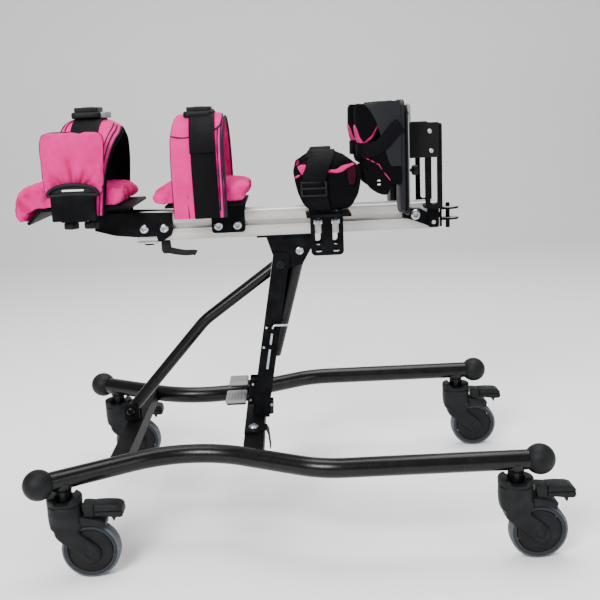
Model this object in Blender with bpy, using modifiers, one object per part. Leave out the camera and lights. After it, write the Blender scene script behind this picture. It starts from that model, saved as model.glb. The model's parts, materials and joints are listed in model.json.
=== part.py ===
"""Supine standing frame for a child: a tilting padded board on a wheeled tube chassis.

Metres, +Z up. The board's head end is at -X, its foot end at +X, and the floor is Z = 0.
The two sides are called near (-Y) and far (+Y).
"""

import math

import bmesh
import bpy
from mathutils import Matrix, Vector

# The gap left between two pieces that touch on the real frame
GAP = 0.0003

# Main sizes: ball to ball along the foot-end rails, the board's top over the floor, and the
# rail's half widths at its head end, at its waist and at its foot end
CHASSIS_LENGTH = 0.8425
BOARD_HEIGHT = 0.593
BOARD_LENGTH = 0.564
HEAD_HALF_WIDTH = 0.284
WAIST_HALF_WIDTH = 0.142
FOOT_HALF_WIDTH = 0.271

# Castors: what stands on the wheels follows their size
WHEEL_RADIUS = 0.050
WHEEL_WIDTH = 0.025
HUB_RADIUS = 0.037
AXLE_RADIUS = 0.004
CASTOR_TRAIL = 0.039
COLLAR_RADIUS = 0.030
COLLAR_HEIGHT = 0.0295
COLLAR_CLEARANCE = 0.018
COLLAR_FOOT = 2 * WHEEL_RADIUS + COLLAR_CLEARANCE
COLLAR_TOP = COLLAR_FOOT + COLLAR_HEIGHT
BOSS_RADIUS = 0.0135
BOSS_HEIGHT = 0.0295
FORK_HALF_WIDTH = 0.0195
FORK_CHEEK = 0.0055

# The fork's side view: its back and its brow from the collar's foot, its claw from the axle
FORK_BACK = ((-0.029, 0.005), (-0.029, -0.014))
FORK_CLAW = ((-0.047, 0.022), (-0.015, -0.011), (-0.003, -0.019), (0.011, -0.014), (0.019, -0.004),
             (0.019, 0.004), (-0.015, 0.038))
FORK_BROW = ((0.024, -0.019), (0.050, -0.0125), (0.050, -0.001), (0.024, 0.005))

# The brake pedal's side view and its hinge, from the collar's wall and foot
PEDAL_SIDE = ((0.0015, 0.0055), (0.020, 0.0055), (0.026, -0.0055), (0.054, -0.0055), (0.068, -0.0030),
              (0.0685, 0.0050), (0.057, 0.0155), (0.034, 0.0240), (0.0015, 0.0270))
PEDAL_HINGE = (0.006, 0.016)
PEDAL_HALF_WIDTH = 0.0165

# Chassis: two bent side rails, given in plan for the far side, with a ball on each end
RAIL_Z = COLLAR_TOP + BOSS_HEIGHT
RAIL_RADIUS = 0.017
RAIL_HEAD_X = -0.421
WAIST_X = -0.183
SHOULDER_X = 0.053
RAIL_PLAN = ((RAIL_HEAD_X, HEAD_HALF_WIDTH), (WAIST_X, WAIST_HALF_WIDTH), (SHOULDER_X, FOOT_HALF_WIDTH),
             (RAIL_HEAD_X + CHASSIS_LENGTH, FOOT_HALF_WIDTH))
RAIL_BENDS = (0.200, 0.150)
BALL_RADIUS = 0.02625
BALL_RIM = 0.00035
BALL_FLAT = math.sqrt(BALL_RADIUS**2 - (RAIL_RADIUS + BALL_RIM) ** 2)
CASTOR_FROM_END = 0.041
CROSS_TUBE_HEIGHT = 0.030
CROSS_TUBE_DROP = 0.002
CROSS_TUBE_Z = RAIL_Z - CROSS_TUBE_DROP
FRONT_CROSS_X = (-0.315, -0.285)
CENTRE_CROSS_X = (-0.083, -0.047)
DECK_Z = CROSS_TUBE_Z + CROSS_TUBE_HEIGHT / 2 + GAP

# Mast: a channel that leans towards the foot end, open on that side, up to the tilt pin
MAST_SET_FORWARD = 0.0101
BASE_PLATE_THICKNESS = 0.005
BASE_PLATE_HALF_LENGTH = 0.126
BASE_PLATE_RIM = 0.006
HOOK_WIDTH = 0.032
MAST_FOOT = (sum(CENTRE_CROSS_X) / 2 + MAST_SET_FORWARD, DECK_Z + BASE_PLATE_THICKNESS + 2 * GAP)
BOARD_DEPTH = 0.050
BOARD_ABOVE_PIN = 0.056
TILT_REACH = 0.0519
TILT_RISE = BOARD_HEIGHT - BOARD_DEPTH - BOARD_ABOVE_PIN - MAST_FOOT[1]
TILT_X = MAST_FOOT[0] + TILT_REACH
TILT_Z = MAST_FOOT[1] + TILT_RISE
MAST_LEAN = math.atan2(TILT_REACH, TILT_RISE)
PIN_HEIGHT = math.hypot(TILT_REACH, TILT_RISE)
MAST_ABOVE_PIN = 0.0224
WEB_ABOVE_PIN = 0.0024
MAST_DEPTH = 0.031
MAST_HALF_WIDTH = 0.025
MAST_WALL = 0.003
PIN_RADIUS = 0.005
PIN_CLEARANCE = 0.0003

# Brace from the front cross tube up to the mast
BRACE_RADIUS = 0.011
BRACE_FOOT = (sum(FRONT_CROSS_X) / 2 - 0.0103, DECK_Z + 0.0158)
BRACE_BEND = (-0.1536, TILT_Z - 0.1056)
BRACE_TOP = (TILT_X - 0.0170, TILT_Z - 0.0105)
BRACE_BEND_RADIUS = 0.120

# Tilt strut, between its top pin in the pivot bracket and its foot pin low in the mast
STRUT_TOP_X = TILT_X + 0.037
STRUT_TOP_Z = TILT_Z + 0.0245
STRUT_FOOT_X = MAST_FOOT[0] + 0.0039
STRUT_FOOT_Z = MAST_FOOT[1] + 0.016
STRUT_RADIUS = 0.0135
STRUT_LENGTH = math.hypot(STRUT_TOP_X - STRUT_FOOT_X, STRUT_TOP_Z - STRUT_FOOT_Z)
STRUT_ROD_OUT = 0.085
STRUT_ROD_INSIDE = 0.116
STRUT_FOOT_GAP = 0.0143
STRUT_ROD_END = STRUT_LENGTH - STRUT_FOOT_GAP
STRUT_CYLINDER_END = STRUT_ROD_END - STRUT_ROD_OUT
STRUT_CYLINDER = (0.011, STRUT_CYLINDER_END)
STRUT_ROD = (STRUT_CYLINDER_END - STRUT_ROD_INSIDE, STRUT_ROD_END)
STRUT_ROD_RADIUS = 0.005
STRUT_PIN_RADIUS = 0.004
STRUT_EYE_RADIUS = 0.012
STRUT_EYE_HALF = 0.0125
PIVOT_SIDE_Y = (MAST_HALF_WIDTH - MAST_WALL - 0.006, MAST_HALF_WIDTH - MAST_WALL - 0.0025)

# Latch on the mast's near wall, as heights up the mast
LATCH_PLATE_SPAN = (0.129, 0.1762)
LATCH_ROD_FOOT = 0.0934
LATCH_ROD_REACH = 0.029
LATCH_ROD_RADIUS = 0.0024

# Foot pedals on the mast's head side: pivots, then each pad from its own pivot
PUMP_PIVOT = (MAST_FOOT[0] - MAST_DEPTH / 2 + 0.0029, MAST_FOOT[1] + 0.057)
RELEASE_PIVOT = (MAST_FOOT[0] - MAST_DEPTH / 2 - 0.0031, MAST_FOOT[1] + 0.025)
PEDAL_EAR_Y = (0.0140, 0.0172)
PUMP_PAD = ((-0.0455, -0.0085), 0.003)
RELEASE_PAD = ((-0.0485, -0.0075), 0.002)
PUMP_PAD_HALF_WIDTH = 0.0255
RELEASE_PAD_HALF_WIDTH = 0.035

# Board rail
BOARD_HEAD_X = -0.266
BOARD_X = (BOARD_HEAD_X, BOARD_HEAD_X + BOARD_LENGTH)
BOARD_HALF_WIDTH = 0.025
BOARD_TOP = BOARD_HEIGHT
BOARD_BOTTOM = BOARD_TOP - BOARD_DEPTH
SLOT_Z = BOARD_BOTTOM + 0.0255
SLOT_MOUTH = 0.010
PLATE_THICKNESS = 0.0047

# Chest section. Side views are X and height over the board's top.
CHEST_ARM_SIDE = ((-0.345, 0.0055), (-0.343, -0.027), (-0.307, -0.0374), (-0.266, -0.042), (-0.230, -0.042),
                  (-0.228, -0.052), (-0.221, -0.052), (-0.203, -0.041), (-0.199, -0.030), (-0.199, 0.001),
                  (-0.290, 0.005))
CHEST_TRAY_SIDE = ((-0.262, 0.0237), (-0.425, 0.0237), (-0.4505, -0.001), (-0.4465, -0.005), (-0.423, 0.018),
                   (-0.262, 0.018))
CHEST_TRAY_HALF_WIDTH = 0.090
TRAY_LEG_X = (-0.340, -0.278)
TRAY_GUIDE_X = (-0.385, -0.337)
TRAY_GUIDE_INSET = 0.002
CHEST_CUSHION_SIDE = ((-0.250, 0.047), (-0.252, 0.029), (-0.262, 0.024), (-0.425, 0.024), (-0.451, 0.000),
                      (-0.472, 0.000), (-0.479, 0.013), (-0.479, 0.039), (-0.462, 0.051), (-0.420, 0.057),
                      (-0.262, 0.057))
CHEST_CUSHION_HALF_WIDTH = 0.1035
LATERAL_FOOT_Z = (BOARD_TOP + 0.001, BOARD_TOP + 0.006)
CHEST_BAND_X = (-0.395, -0.287)
CHEST_BAND_THICKNESS = 0.006
CHEST_BAND_OUTER = CHEST_CUSHION_HALF_WIDTH + 0.0005 + CHEST_BAND_THICKNESS
CHEST_BAND_FOOT = LATERAL_FOOT_Z[1] + 0.001
CHEST_BAND_HEIGHT = 0.177
CHEST_BAND_TOP = BOARD_TOP + CHEST_BAND_HEIGHT
PAD_THICKNESS = 0.012
PAD_X = (-0.405, -0.297)
PAD_RISE = 0.048
PAD_HEIGHT = 0.109
PAD_Z = (BOARD_TOP + PAD_RISE, BOARD_TOP + PAD_RISE + PAD_HEIGHT)
CLAMP_X = -0.2135
CLAMP_RADIUS = 0.0095
CLAMP_DROP = 0.0022

# Hip section
HIP_TRAY_X = (-0.205, -0.060)
HIP_TRAY_HALF_WIDTH = 0.078
HIP_TRAY_TOP = BOARD_TOP + 0.0187
HIP_SIDE_X = (-0.127, -0.065)
HIP_CUSHION_SIDE = ((-0.054, 0.019), (-0.052, 0.043), (-0.056, 0.057), (-0.190, 0.055), (-0.212, 0.048),
                    (-0.228, 0.035), (-0.224, 0.023), (-0.208, 0.019))
HIP_CUSHION_HALF_WIDTH = 0.090
HIP_WRAP_X = (-0.185, -0.090)
HIP_WRAP_THICKNESS = 0.012
HIP_WRAP_OUTER = HIP_CUSHION_HALF_WIDTH + 0.008 + HIP_WRAP_THICKNESS
HIP_WRAP_HANG = 0.005
HIP_WRAP_HEIGHT = 0.181
HIP_WRAP_FOOT = BOARD_TOP - HIP_WRAP_HANG
HIP_WRAP_TOP = BOARD_TOP + HIP_WRAP_HEIGHT

# Knee section
KNEE_BRACKET_X = (0.056, 0.117)
KNEE_BRACKET_DROP = 0.012
KNEE_BRACKET_HEIGHT = 0.079
KNEE_BRACKET_Z = (BOARD_TOP - KNEE_BRACKET_DROP - KNEE_BRACKET_HEIGHT, BOARD_TOP - KNEE_BRACKET_DROP)
KNEE_BRACKET_THICKNESS = 0.0055
KNEE_SLOT_PITCH = 0.0326
KNEE_SLOT_WIDTH = 0.012
KNEE_SHELF_Y = 0.100
KNEE_SHELF_DROP = 0.0068
KNEE_SHELF_Z = BOARD_TOP - KNEE_SHELF_DROP
CUFF_X = (0.028, 0.148)
CUFF_Y = 0.070
CUFF_RADIUS = 0.0555
CUFF_THICKNESS = 0.012
CUFF_Z = KNEE_SHELF_Z + GAP + CUFF_RADIUS

# Foot section: the side plate's outline is told from the foot pivot
FOOT_PIVOT = (0.285, BOARD_BOTTOM + 0.0135)
FOOT_PIVOT_HOLE = 0.0043
FOOT_PLATE_SIDE = ((-0.058, 0.0105), (-0.038, 0.0045), (-0.009, -0.0075), (0.001, -0.0105), (0.010, -0.0055),
                   (0.011, 0.0035), (-0.023, 0.0245), (-0.055, 0.0265))
BAR_X = (FOOT_PIVOT[0] - 0.019, FOOT_PIVOT[0] + 0.012)
BAR_RISE = 0.0275
BAR_LENGTH = 0.153
BAR_Z = (FOOT_PIVOT[1] + BAR_RISE, FOOT_PIVOT[1] + BAR_RISE + BAR_LENGTH)
BAR_Y = 0.058
BAR_THICKNESS = 0.005
BAR_SLOT = (BAR_Z[0] + 0.008, BAR_Z[1] - 0.012)
FOOTPLATE_X = (0.226, 0.231)
FOOTPLATE_Y = (0.042, 0.118)
FOOTPLATE_DROP = 0.005
FOOTPLATE_HEIGHT = 0.192
FOOTPLATE_Z = (BAR_Z[0] - FOOTPLATE_DROP, BAR_Z[0] - FOOTPLATE_DROP + FOOTPLATE_HEIGHT)
SANDAL_Y = (FOOTPLATE_Y[0] + 0.004, FOOTPLATE_Y[1] - 0.004)
SOLE_X = (FOOTPLATE_X[0] - 0.0145, FOOTPLATE_X[0] - 0.0005)
SOLE_RISE = 0.031
SOLE_LENGTH = 0.176
SOLE_Z = (FOOTPLATE_Z[0] + SOLE_RISE, FOOTPLATE_Z[0] + SOLE_RISE + SOLE_LENGTH)
SANDAL_WALL = 0.008
HEEL_X = 0.155
HEEL_TOP = SOLE_Z[0] + 0.090
VAMP_X = 0.137
VAMP_Z = (SOLE_Z[0] + 0.050, SOLE_Z[1] - 0.003)
# The sandal's sloping edge towards the leg, as X and height over the sole's foot
SANDAL_SLOPE = ((0.130, -0.010), (0.162, -0.010), (0.162, 0.045), (0.155, 0.092), (0.139, 0.135),
                (0.130, 0.135))

# Colours (linear), roughness and metallic of each kind of finish
BLACK_PAINT = ((0.010, 0.011, 0.013), 0.35, 0.0)
BLACK_PLASTIC = ((0.022, 0.024, 0.027), 0.55, 0.0)
GREY_PLASTIC = ((0.30, 0.29, 0.30), 0.60, 0.0)
GREY_RUBBER = ((0.085, 0.095, 0.105), 0.70, 0.0)
ALUMINIUM = ((0.62, 0.60, 0.56), 0.40, 1.0)
STEEL = ((0.60, 0.61, 0.63), 0.28, 1.0)
PINK_FABRIC = ((0.80, 0.06, 0.34), 0.85, 0.0)
BLACK_FABRIC = ((0.012, 0.012, 0.015), 0.90, 0.0)

SIDES = {"near": -1, "far": 1}


def start_fresh():
    """Empty the scene, and make one collection for the frame and one for the cutters."""
    for old in list(bpy.data.objects):
        bpy.data.objects.remove(old)
    collections = []
    for name in ("supine_standing_frame", "cutters"):
        collection = bpy.data.collections.new(name)
        bpy.context.scene.collection.children.link(collection)
        collections.append(collection)
    return collections


FRAME, CUTTERS = start_fresh()


def keep_mesh(name, shape):
    """The bmesh as a new object in the frame's collection."""
    bmesh.ops.recalc_face_normals(shape, faces=shape.faces)
    mesh = bpy.data.meshes.new(name)
    shape.to_mesh(mesh)
    shape.free()
    made = bpy.data.objects.new(name, mesh)
    FRAME.objects.link(made)
    return made


def spread(side, near_edge, far_edge):
    """A span in Y, measured outwards from the middle, placed on the given side."""
    return tuple(sorted((side * near_edge, side * far_edge)))


def box(name, x, y, z):
    """A plain box between the given limits."""
    shape = bmesh.new()
    middle = Vector((sum(x) / 2, sum(y) / 2, sum(z) / 2))
    size = Vector((x[1] - x[0], y[1] - y[0], z[1] - z[0]))
    place = Matrix.Translation(middle) @ Matrix.Diagonal((*size, 1.0))
    bmesh.ops.create_cube(shape, size=1.0, matrix=place)
    return keep_mesh(name, shape)


def rod(name, start, end, radius, sides=16):
    """A round bar from start to end."""
    start, end = Vector(start), Vector(end)
    along = end - start
    turn = along.to_track_quat("Z", "Y").to_matrix().to_4x4()
    shape = bmesh.new()
    bmesh.ops.create_cone(
        shape,
        cap_ends=True,
        segments=sides,
        radius1=radius,
        radius2=radius,
        depth=along.length,
        matrix=Matrix.Translation((start + end) / 2) @ turn,
    )
    made = keep_mesh(name, shape)
    smooth(made)
    return made


def turned(name, profile, centre, along, sides=24, ring=False):
    """The profile (radius, distance along the axis) spun round the axis through centre."""
    shape = bmesh.new()
    corners = [shape.verts.new((radius, 0.0, height)) for radius, height in profile]
    pairs = list(zip(corners, corners[1:]))
    if ring:
        pairs.append((corners[-1], corners[0]))
    edges = [shape.edges.new(pair) for pair in pairs]
    bmesh.ops.spin(
        shape,
        geom=corners + edges,
        axis=(0, 0, 1),
        cent=(0, 0, 0),
        angle=2 * math.pi,
        steps=sides,
        use_duplicate=False,
    )
    bmesh.ops.remove_doubles(shape, verts=shape.verts, dist=1e-6)
    turn = Vector(along).to_track_quat("Z", "Y").to_matrix().to_4x4()
    bmesh.ops.transform(shape, matrix=Matrix.Translation(centre) @ turn, verts=shape.verts)
    made = keep_mesh(name, shape)
    smooth(made)
    return made


def solid_from_curve(name, curve, place):
    """The filled curve as a closed mesh, with its caps welded on, moved by the matrix."""
    drawn = bpy.data.objects.new(name + "_curve", curve)
    FRAME.objects.link(drawn)
    bpy.context.view_layer.update()
    mesh = bpy.data.meshes.new_from_object(drawn.evaluated_get(bpy.context.evaluated_depsgraph_get()))
    bpy.data.objects.remove(drawn)
    shape = bmesh.new()
    shape.from_mesh(mesh)
    bpy.data.meshes.remove(mesh)
    bmesh.ops.remove_doubles(shape, verts=shape.verts, dist=1e-6)
    bmesh.ops.dissolve_limit(
        shape,
        angle_limit=math.radians(0.5),
        use_dissolve_boundaries=False,
        verts=shape.verts,
        edges=shape.edges,
    )
    bmesh.ops.transform(shape, matrix=place, verts=shape.verts)
    return keep_mesh(name, shape)


def plate(name, outline, span, plane, holes=()):
    """A flat plate: the outline less the holes, as thick as the span across the plane."""
    curve = bpy.data.curves.new(name, "CURVE")
    curve.dimensions = "2D"
    curve.fill_mode = "BOTH"
    curve.extrude = (span[1] - span[0]) / 2
    for loop in (outline, *holes):
        spline = curve.splines.new("POLY")
        spline.points.add(len(loop) - 1)
        for point, (u, v) in zip(spline.points, loop):
            point.co = (u, v, 0.0, 1.0)
        spline.use_cyclic_u = True
    middle = sum(span) / 2
    places = {
        "XZ": Matrix.Translation((0, middle, 0)) @ Matrix.Rotation(math.pi / 2, 4, "X"),
        "YZ": Matrix(((0, 0, 1, middle), (1, 0, 0, 0), (0, 1, 0, 0), (0, 0, 0, 1))),
        "XY": Matrix.Translation((0, 0, middle)),
    }
    return solid_from_curve(name, curve, places[plane])


def tube(name, path, radius, sides=12):
    """A round tube along the path, closed at both ends."""
    curve = bpy.data.curves.new(name, "CURVE")
    curve.dimensions = "3D"
    curve.bevel_depth = radius
    curve.bevel_resolution = sides // 2 - 2
    curve.use_fill_caps = True
    spline = curve.splines.new("POLY")
    spline.points.add(len(path) - 1)
    for point, place in zip(spline.points, path):
        point.co = (*place, 1.0)
    made = solid_from_curve(name, curve, Matrix.Identity(4))
    smooth(made)
    return made


def swept_corner(before, corner, after, radius, steps):
    """The points of an arc of the given radius that rounds the corner off."""
    before, corner, after = Vector(before), Vector(corner), Vector(after)
    back, ahead = (before - corner).normalized(), (after - corner).normalized()
    half = back.angle(ahead) / 2
    reach = radius / math.tan(half)
    centre = corner + (back + ahead).normalized() * radius / math.sin(half)
    start, end = corner + back * reach - centre, corner + ahead * reach - centre
    sweep = math.pi - 2 * half
    points = []
    for step in range(steps + 1):
        share = step / steps
        first = math.sin((1 - share) * sweep) / math.sin(sweep)
        second = math.sin(share * sweep) / math.sin(sweep)
        points.append(centre + start * first + end * second)
    return points


def bent(points, radii, steps=7):
    """An open path through the points, each inner corner rounded by its own radius."""
    path = [Vector(points[0])]
    for before, corner, after, radius in zip(points, points[1:], points[2:], radii):
        path += swept_corner(before, corner, after, radius, steps)
    path.append(Vector(points[-1]))
    return path


def rounded(points, radius, steps=3):
    """A closed outline with every corner rounded by the same radius."""
    outline = []
    count = len(points)
    for index in range(count):
        before, corner, after = points[index - 1], points[index], points[(index + 1) % count]
        outline += [tuple(point) for point in swept_corner(before, corner, after, radius, steps)]
    return outline


def rectangle(u, v):
    """The four corners of a rectangle between the given limits."""
    return [(u[0], v[0]), (u[1], v[0]), (u[1], v[1]), (u[0], v[1])]


def circle(centre, radius, sides=12):
    """A round hole or outline."""
    turns = [2 * math.pi * step / sides for step in range(sides)]
    return [(centre[0] + radius * math.cos(a), centre[1] + radius * math.sin(a)) for a in turns]


def arch(half_width, foot, top, steps=16):
    """Half of an arch's outline: up one side, over the top and down the other."""
    spring = top - half_width
    points = [(-half_width, foot)]
    for step in range(steps + 1):
        angle = math.pi * (1 - step / steps)
        points.append((half_width * math.cos(angle), spring + half_width * math.sin(angle)))
    points.append((half_width, foot))
    return points


def put_aside(tool):
    """Move a shape that only serves another one to the cutters' collection."""
    FRAME.objects.unlink(tool)
    CUTTERS.objects.link(tool)
    tool.hide_render = True
    tool.display_type = "WIRE"


def combine(body, operation, tools):
    """Join the tools to the body, or cut them out of it."""
    for tool in tools:
        step = body.modifiers.new(tool.name, "BOOLEAN")
        step.operation = operation
        step.solver = "EXACT"
        step.object = tool
        put_aside(tool)


def fuse(body, *pieces):
    """Weld the pieces to the body."""
    combine(body, "UNION", pieces)


def cut(body, *cutters):
    """Take the cutters out of the body."""
    combine(body, "DIFFERENCE", cutters)


def soften(made, width, segments=2):
    """Round the edges of a soft or moulded piece."""
    step = made.modifiers.new("soft_edges", "BEVEL")
    step.width = width
    step.segments = segments
    step.limit_method = "ANGLE"
    step.angle_limit = math.radians(50)
    smooth(made)


def smooth(made):
    """Shade a round piece smooth, with its sharp edges kept."""
    made.data.shade_smooth()
    made.data.set_sharp_from_angle(angle=math.radians(40))


def finish(made, look, joint=None):
    """Give a sub-part its own material and, if it moves, its origin on its joint."""
    colour, roughness, metallic = look
    material = bpy.data.materials.new(made.name)
    material.use_nodes = True
    shader = material.node_tree.nodes["Principled BSDF"]
    shader.inputs["Base Color"].default_value = (*colour, 1.0)
    shader.inputs["Roughness"].default_value = roughness
    shader.inputs["Metallic"].default_value = metallic
    made.data.materials.clear()
    made.data.materials.append(material)
    if joint is not None:
        made.data.transform(Matrix.Translation(-Vector(joint)))
        made.location = joint


def mast_frame():
    """The matrix that stands a piece drawn upright at the origin on the mast's foot."""
    place = Matrix.Translation((MAST_FOOT[0], 0, MAST_FOOT[1]))
    return place @ Matrix.Rotation(MAST_LEAN, 4, "Y")


def lean(made):
    """Tip a piece drawn in the mast's own frame to where the mast stands."""
    made.data.transform(mast_frame())
    return made


def over_board(points):
    """A side view given over the board's top, at its real height."""
    return [(x, BOARD_TOP + height) for x, height in points]


def shifted(points, x, z):
    """A side view moved by x and z."""
    return [(along + x, height + z) for along, height in points]


def rail_path(side, trim):
    """The rail's centre line on one side, shortened at both ends by trim."""
    plan = [Vector((x, side * y, RAIL_Z)) for x, y in RAIL_PLAN]
    plan[0] += (plan[1] - plan[0]).normalized() * trim
    plan[-1] += (plan[-2] - plan[-1]).normalized() * trim
    return bent(plan, RAIL_BENDS)


def castor_places(side):
    """Where the two castor stems of one rail stand, in plan."""
    plan = [Vector((x, side * y)) for x, y in RAIL_PLAN]
    head = plan[0] + (plan[1] - plan[0]).normalized() * CASTOR_FROM_END
    foot = plan[-1] + (plan[-2] - plan[-1]).normalized() * CASTOR_FROM_END
    return {"head": head, "foot": foot}


def rail_y(x):
    """How far the rail's centre line is from the middle at the given X, between its bends."""
    for (x0, y0), (x1, y1) in zip(RAIL_PLAN, RAIL_PLAN[1:]):
        if x0 <= x <= x1:
            return y0 + (y1 - y0) * (x - x0) / (x1 - x0)
    return RAIL_PLAN[-1][1]


def side_rail(label):
    """One bent side rail with its two castor bosses."""
    side = SIDES[label]
    rail = tube("rail_" + label, rail_path(side, BALL_FLAT + GAP), RAIL_RADIUS, sides=16)
    for end, place in castor_places(side).items():
        foot = (place.x, place.y, COLLAR_TOP + GAP)
        fuse(rail, rod("boss_" + end + "_" + label, foot, (place.x, place.y, RAIL_Z), BOSS_RADIUS))
    finish(rail, BLACK_PAINT)


def ball_cap(label, end):
    """The ball that closes a rail end, flat where it meets the tube."""
    side = SIDES[label]
    plan = [Vector((x, side * y, RAIL_Z)) for x, y in RAIL_PLAN]
    centre, inward = (plan[0], plan[1] - plan[0]) if end == "head" else (plan[-1], plan[-2] - plan[-1])
    reach = math.pi - math.atan2(RAIL_RADIUS + BALL_RIM, BALL_FLAT)
    turns = [reach * step / 7 for step in range(1, 8)]
    arc = [(BALL_RADIUS * math.sin(turn), BALL_RADIUS * math.cos(turn)) for turn in turns]
    profile = [(0.0, BALL_RADIUS), *arc, (0.0, -BALL_FLAT)]
    ball = turned("end_cap_" + end + "_" + label, profile, centre, -inward, sides=18)
    finish(ball, BLACK_PLASTIC)


def cross_tube(name, x):
    """A tube across the chassis, coped to fit against both side rails."""
    ends = [(x[0], rail_y(x[0])), (x[1], rail_y(x[1]))]
    outline = [(x[0], -ends[0][1]), (x[1], -ends[1][1]), (x[1], ends[1][1]), (x[0], ends[0][1])]
    half = CROSS_TUBE_HEIGHT / 2
    made = plate(name, outline, (CROSS_TUBE_Z - half, CROSS_TUBE_Z + half), "XY")
    for label, side in SIDES.items():
        cut(made, tube(name + "_cope_" + label, rail_path(side, 0.0), RAIL_RADIUS + GAP, sides=16))
    finish(made, BLACK_PAINT)


def brace_clevis():
    """Two cheeks on a foot that hold the brace's lower end on the front cross tube."""
    foot_z = DECK_Z
    bolt_x, bolt_z = BRACE_FOOT[0] + 0.003, BRACE_FOOT[1] + 0.0035
    made = box("brace_clevis", (bolt_x - 0.013, bolt_x + 0.016), (-0.017, 0.017), (foot_z, foot_z + 0.0045))
    outline = [
        (bolt_x - 0.013, foot_z + 0.001),
        (bolt_x + 0.016, foot_z + 0.001),
        (bolt_x + 0.016, bolt_z + 0.006),
        (bolt_x + 0.008, bolt_z + 0.015),
        (bolt_x - 0.008, bolt_z + 0.015),
        (bolt_x - 0.013, bolt_z + 0.006),
    ]
    for label, side in SIDES.items():
        cheek = spread(side, BRACE_RADIUS + 0.0005, 0.017)
        fuse(made, plate("brace_cheek_" + label, outline, cheek, "XZ"))
    finish(made, BLACK_PAINT)


def brace_tube():
    """The bent tube from the clevis to the mast, coped against the mast's web."""
    corners = [(x, 0.0, z) for x, z in (BRACE_FOOT, BRACE_BEND, BRACE_TOP)]
    made = tube("brace_tube", bent(corners, (BRACE_BEND_RADIUS,)), BRACE_RADIUS, sides=16)
    half = MAST_DEPTH / 2 + GAP
    cut(made, lean(box("brace_cope", (-half, 0.060), (-0.03, 0.03), (0.2, PIN_HEIGHT + MAST_ABOVE_PIN))))
    finish(made, BLACK_PAINT)


def mast():
    """The leaning channel on its base plate, with the pedals' ears and a thin hook."""
    half, wide = MAST_DEPTH / 2, MAST_HALF_WIDTH
    inside = wide - MAST_WALL / 2
    web = (-half + GAP, -half + MAST_WALL)
    made = lean(box("mast", web, (-inside, inside), (0.0, PIN_HEIGHT + WEB_ABOVE_PIN)))
    for label, side in SIDES.items():
        low, high = -0.8 * BASE_PLATE_THICKNESS, PIN_HEIGHT + MAST_ABOVE_PIN
        outline = rounded([(-half, low), (half, low), (half, high), (-half, high)], 0.0035)
        hole = circle((0.0, PIN_HEIGHT), PIN_RADIUS + PIN_CLEARANCE)
        wall = plate("mast_wall_" + label, outline, spread(side, wide - MAST_WALL, wide), "XZ", [hole])
        fuse(made, lean(wall))
    head_edge, foot_edge, toe = CENTRE_CROSS_X[0], CENTRE_CROSS_X[1] - 0.003, MAST_FOOT[0] + half + 0.002
    long, short = BASE_PLATE_HALF_LENGTH, wide + BASE_PLATE_RIM
    outline = [(head_edge, -long), (foot_edge, -long), (foot_edge, -short), (toe, -short), (toe, short),
               (foot_edge, short), (foot_edge, long), (head_edge, long)]
    fuse(made, plate("mast_base", outline, (DECK_Z, DECK_Z + BASE_PLATE_THICKNESS), "XY"))
    for label, side in SIDES.items():
        ear = [
            (RELEASE_PIVOT[0] - 0.006, RELEASE_PIVOT[1] - 0.008),
            (RELEASE_PIVOT[0] + 0.010, RELEASE_PIVOT[1] - 0.008),
            (PUMP_PIVOT[0] + 0.011, PUMP_PIVOT[1] + 0.010),
            (PUMP_PIVOT[0] - 0.0045, PUMP_PIVOT[1] + 0.010),
        ]
        holes = [circle(PUMP_PIVOT, 0.0028, 10), circle(RELEASE_PIVOT, 0.0028, 10)]
        fuse(made, plate("pedal_ear_" + label, ear, spread(side, *PEDAL_EAR_Y), "XZ", holes))
    finish(made, BLACK_PAINT)


def mast_hook():
    """The thin hook that hangs over the centre cross tube beside the mast."""
    top = DECK_Z + BASE_PLATE_THICKNESS + GAP
    edge = CENTRE_CROSS_X[1] + 0.0025
    outline = [
        (edge - 0.012, top),
        (edge + 0.002, top),
        (edge + 0.005, top - 0.008),
        (edge + 0.0075, top - 0.036),
        (edge + 0.0095, top - 0.036),
        (edge + 0.0070, top - 0.006),
        (edge + 0.003, top + 0.002),
        (edge - 0.012, top + 0.002),
    ]
    end = 0.004 - BASE_PLATE_HALF_LENGTH
    finish(plate("mast_hook", outline, (end, end + HOOK_WIDTH), "XZ"), STEEL)


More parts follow.
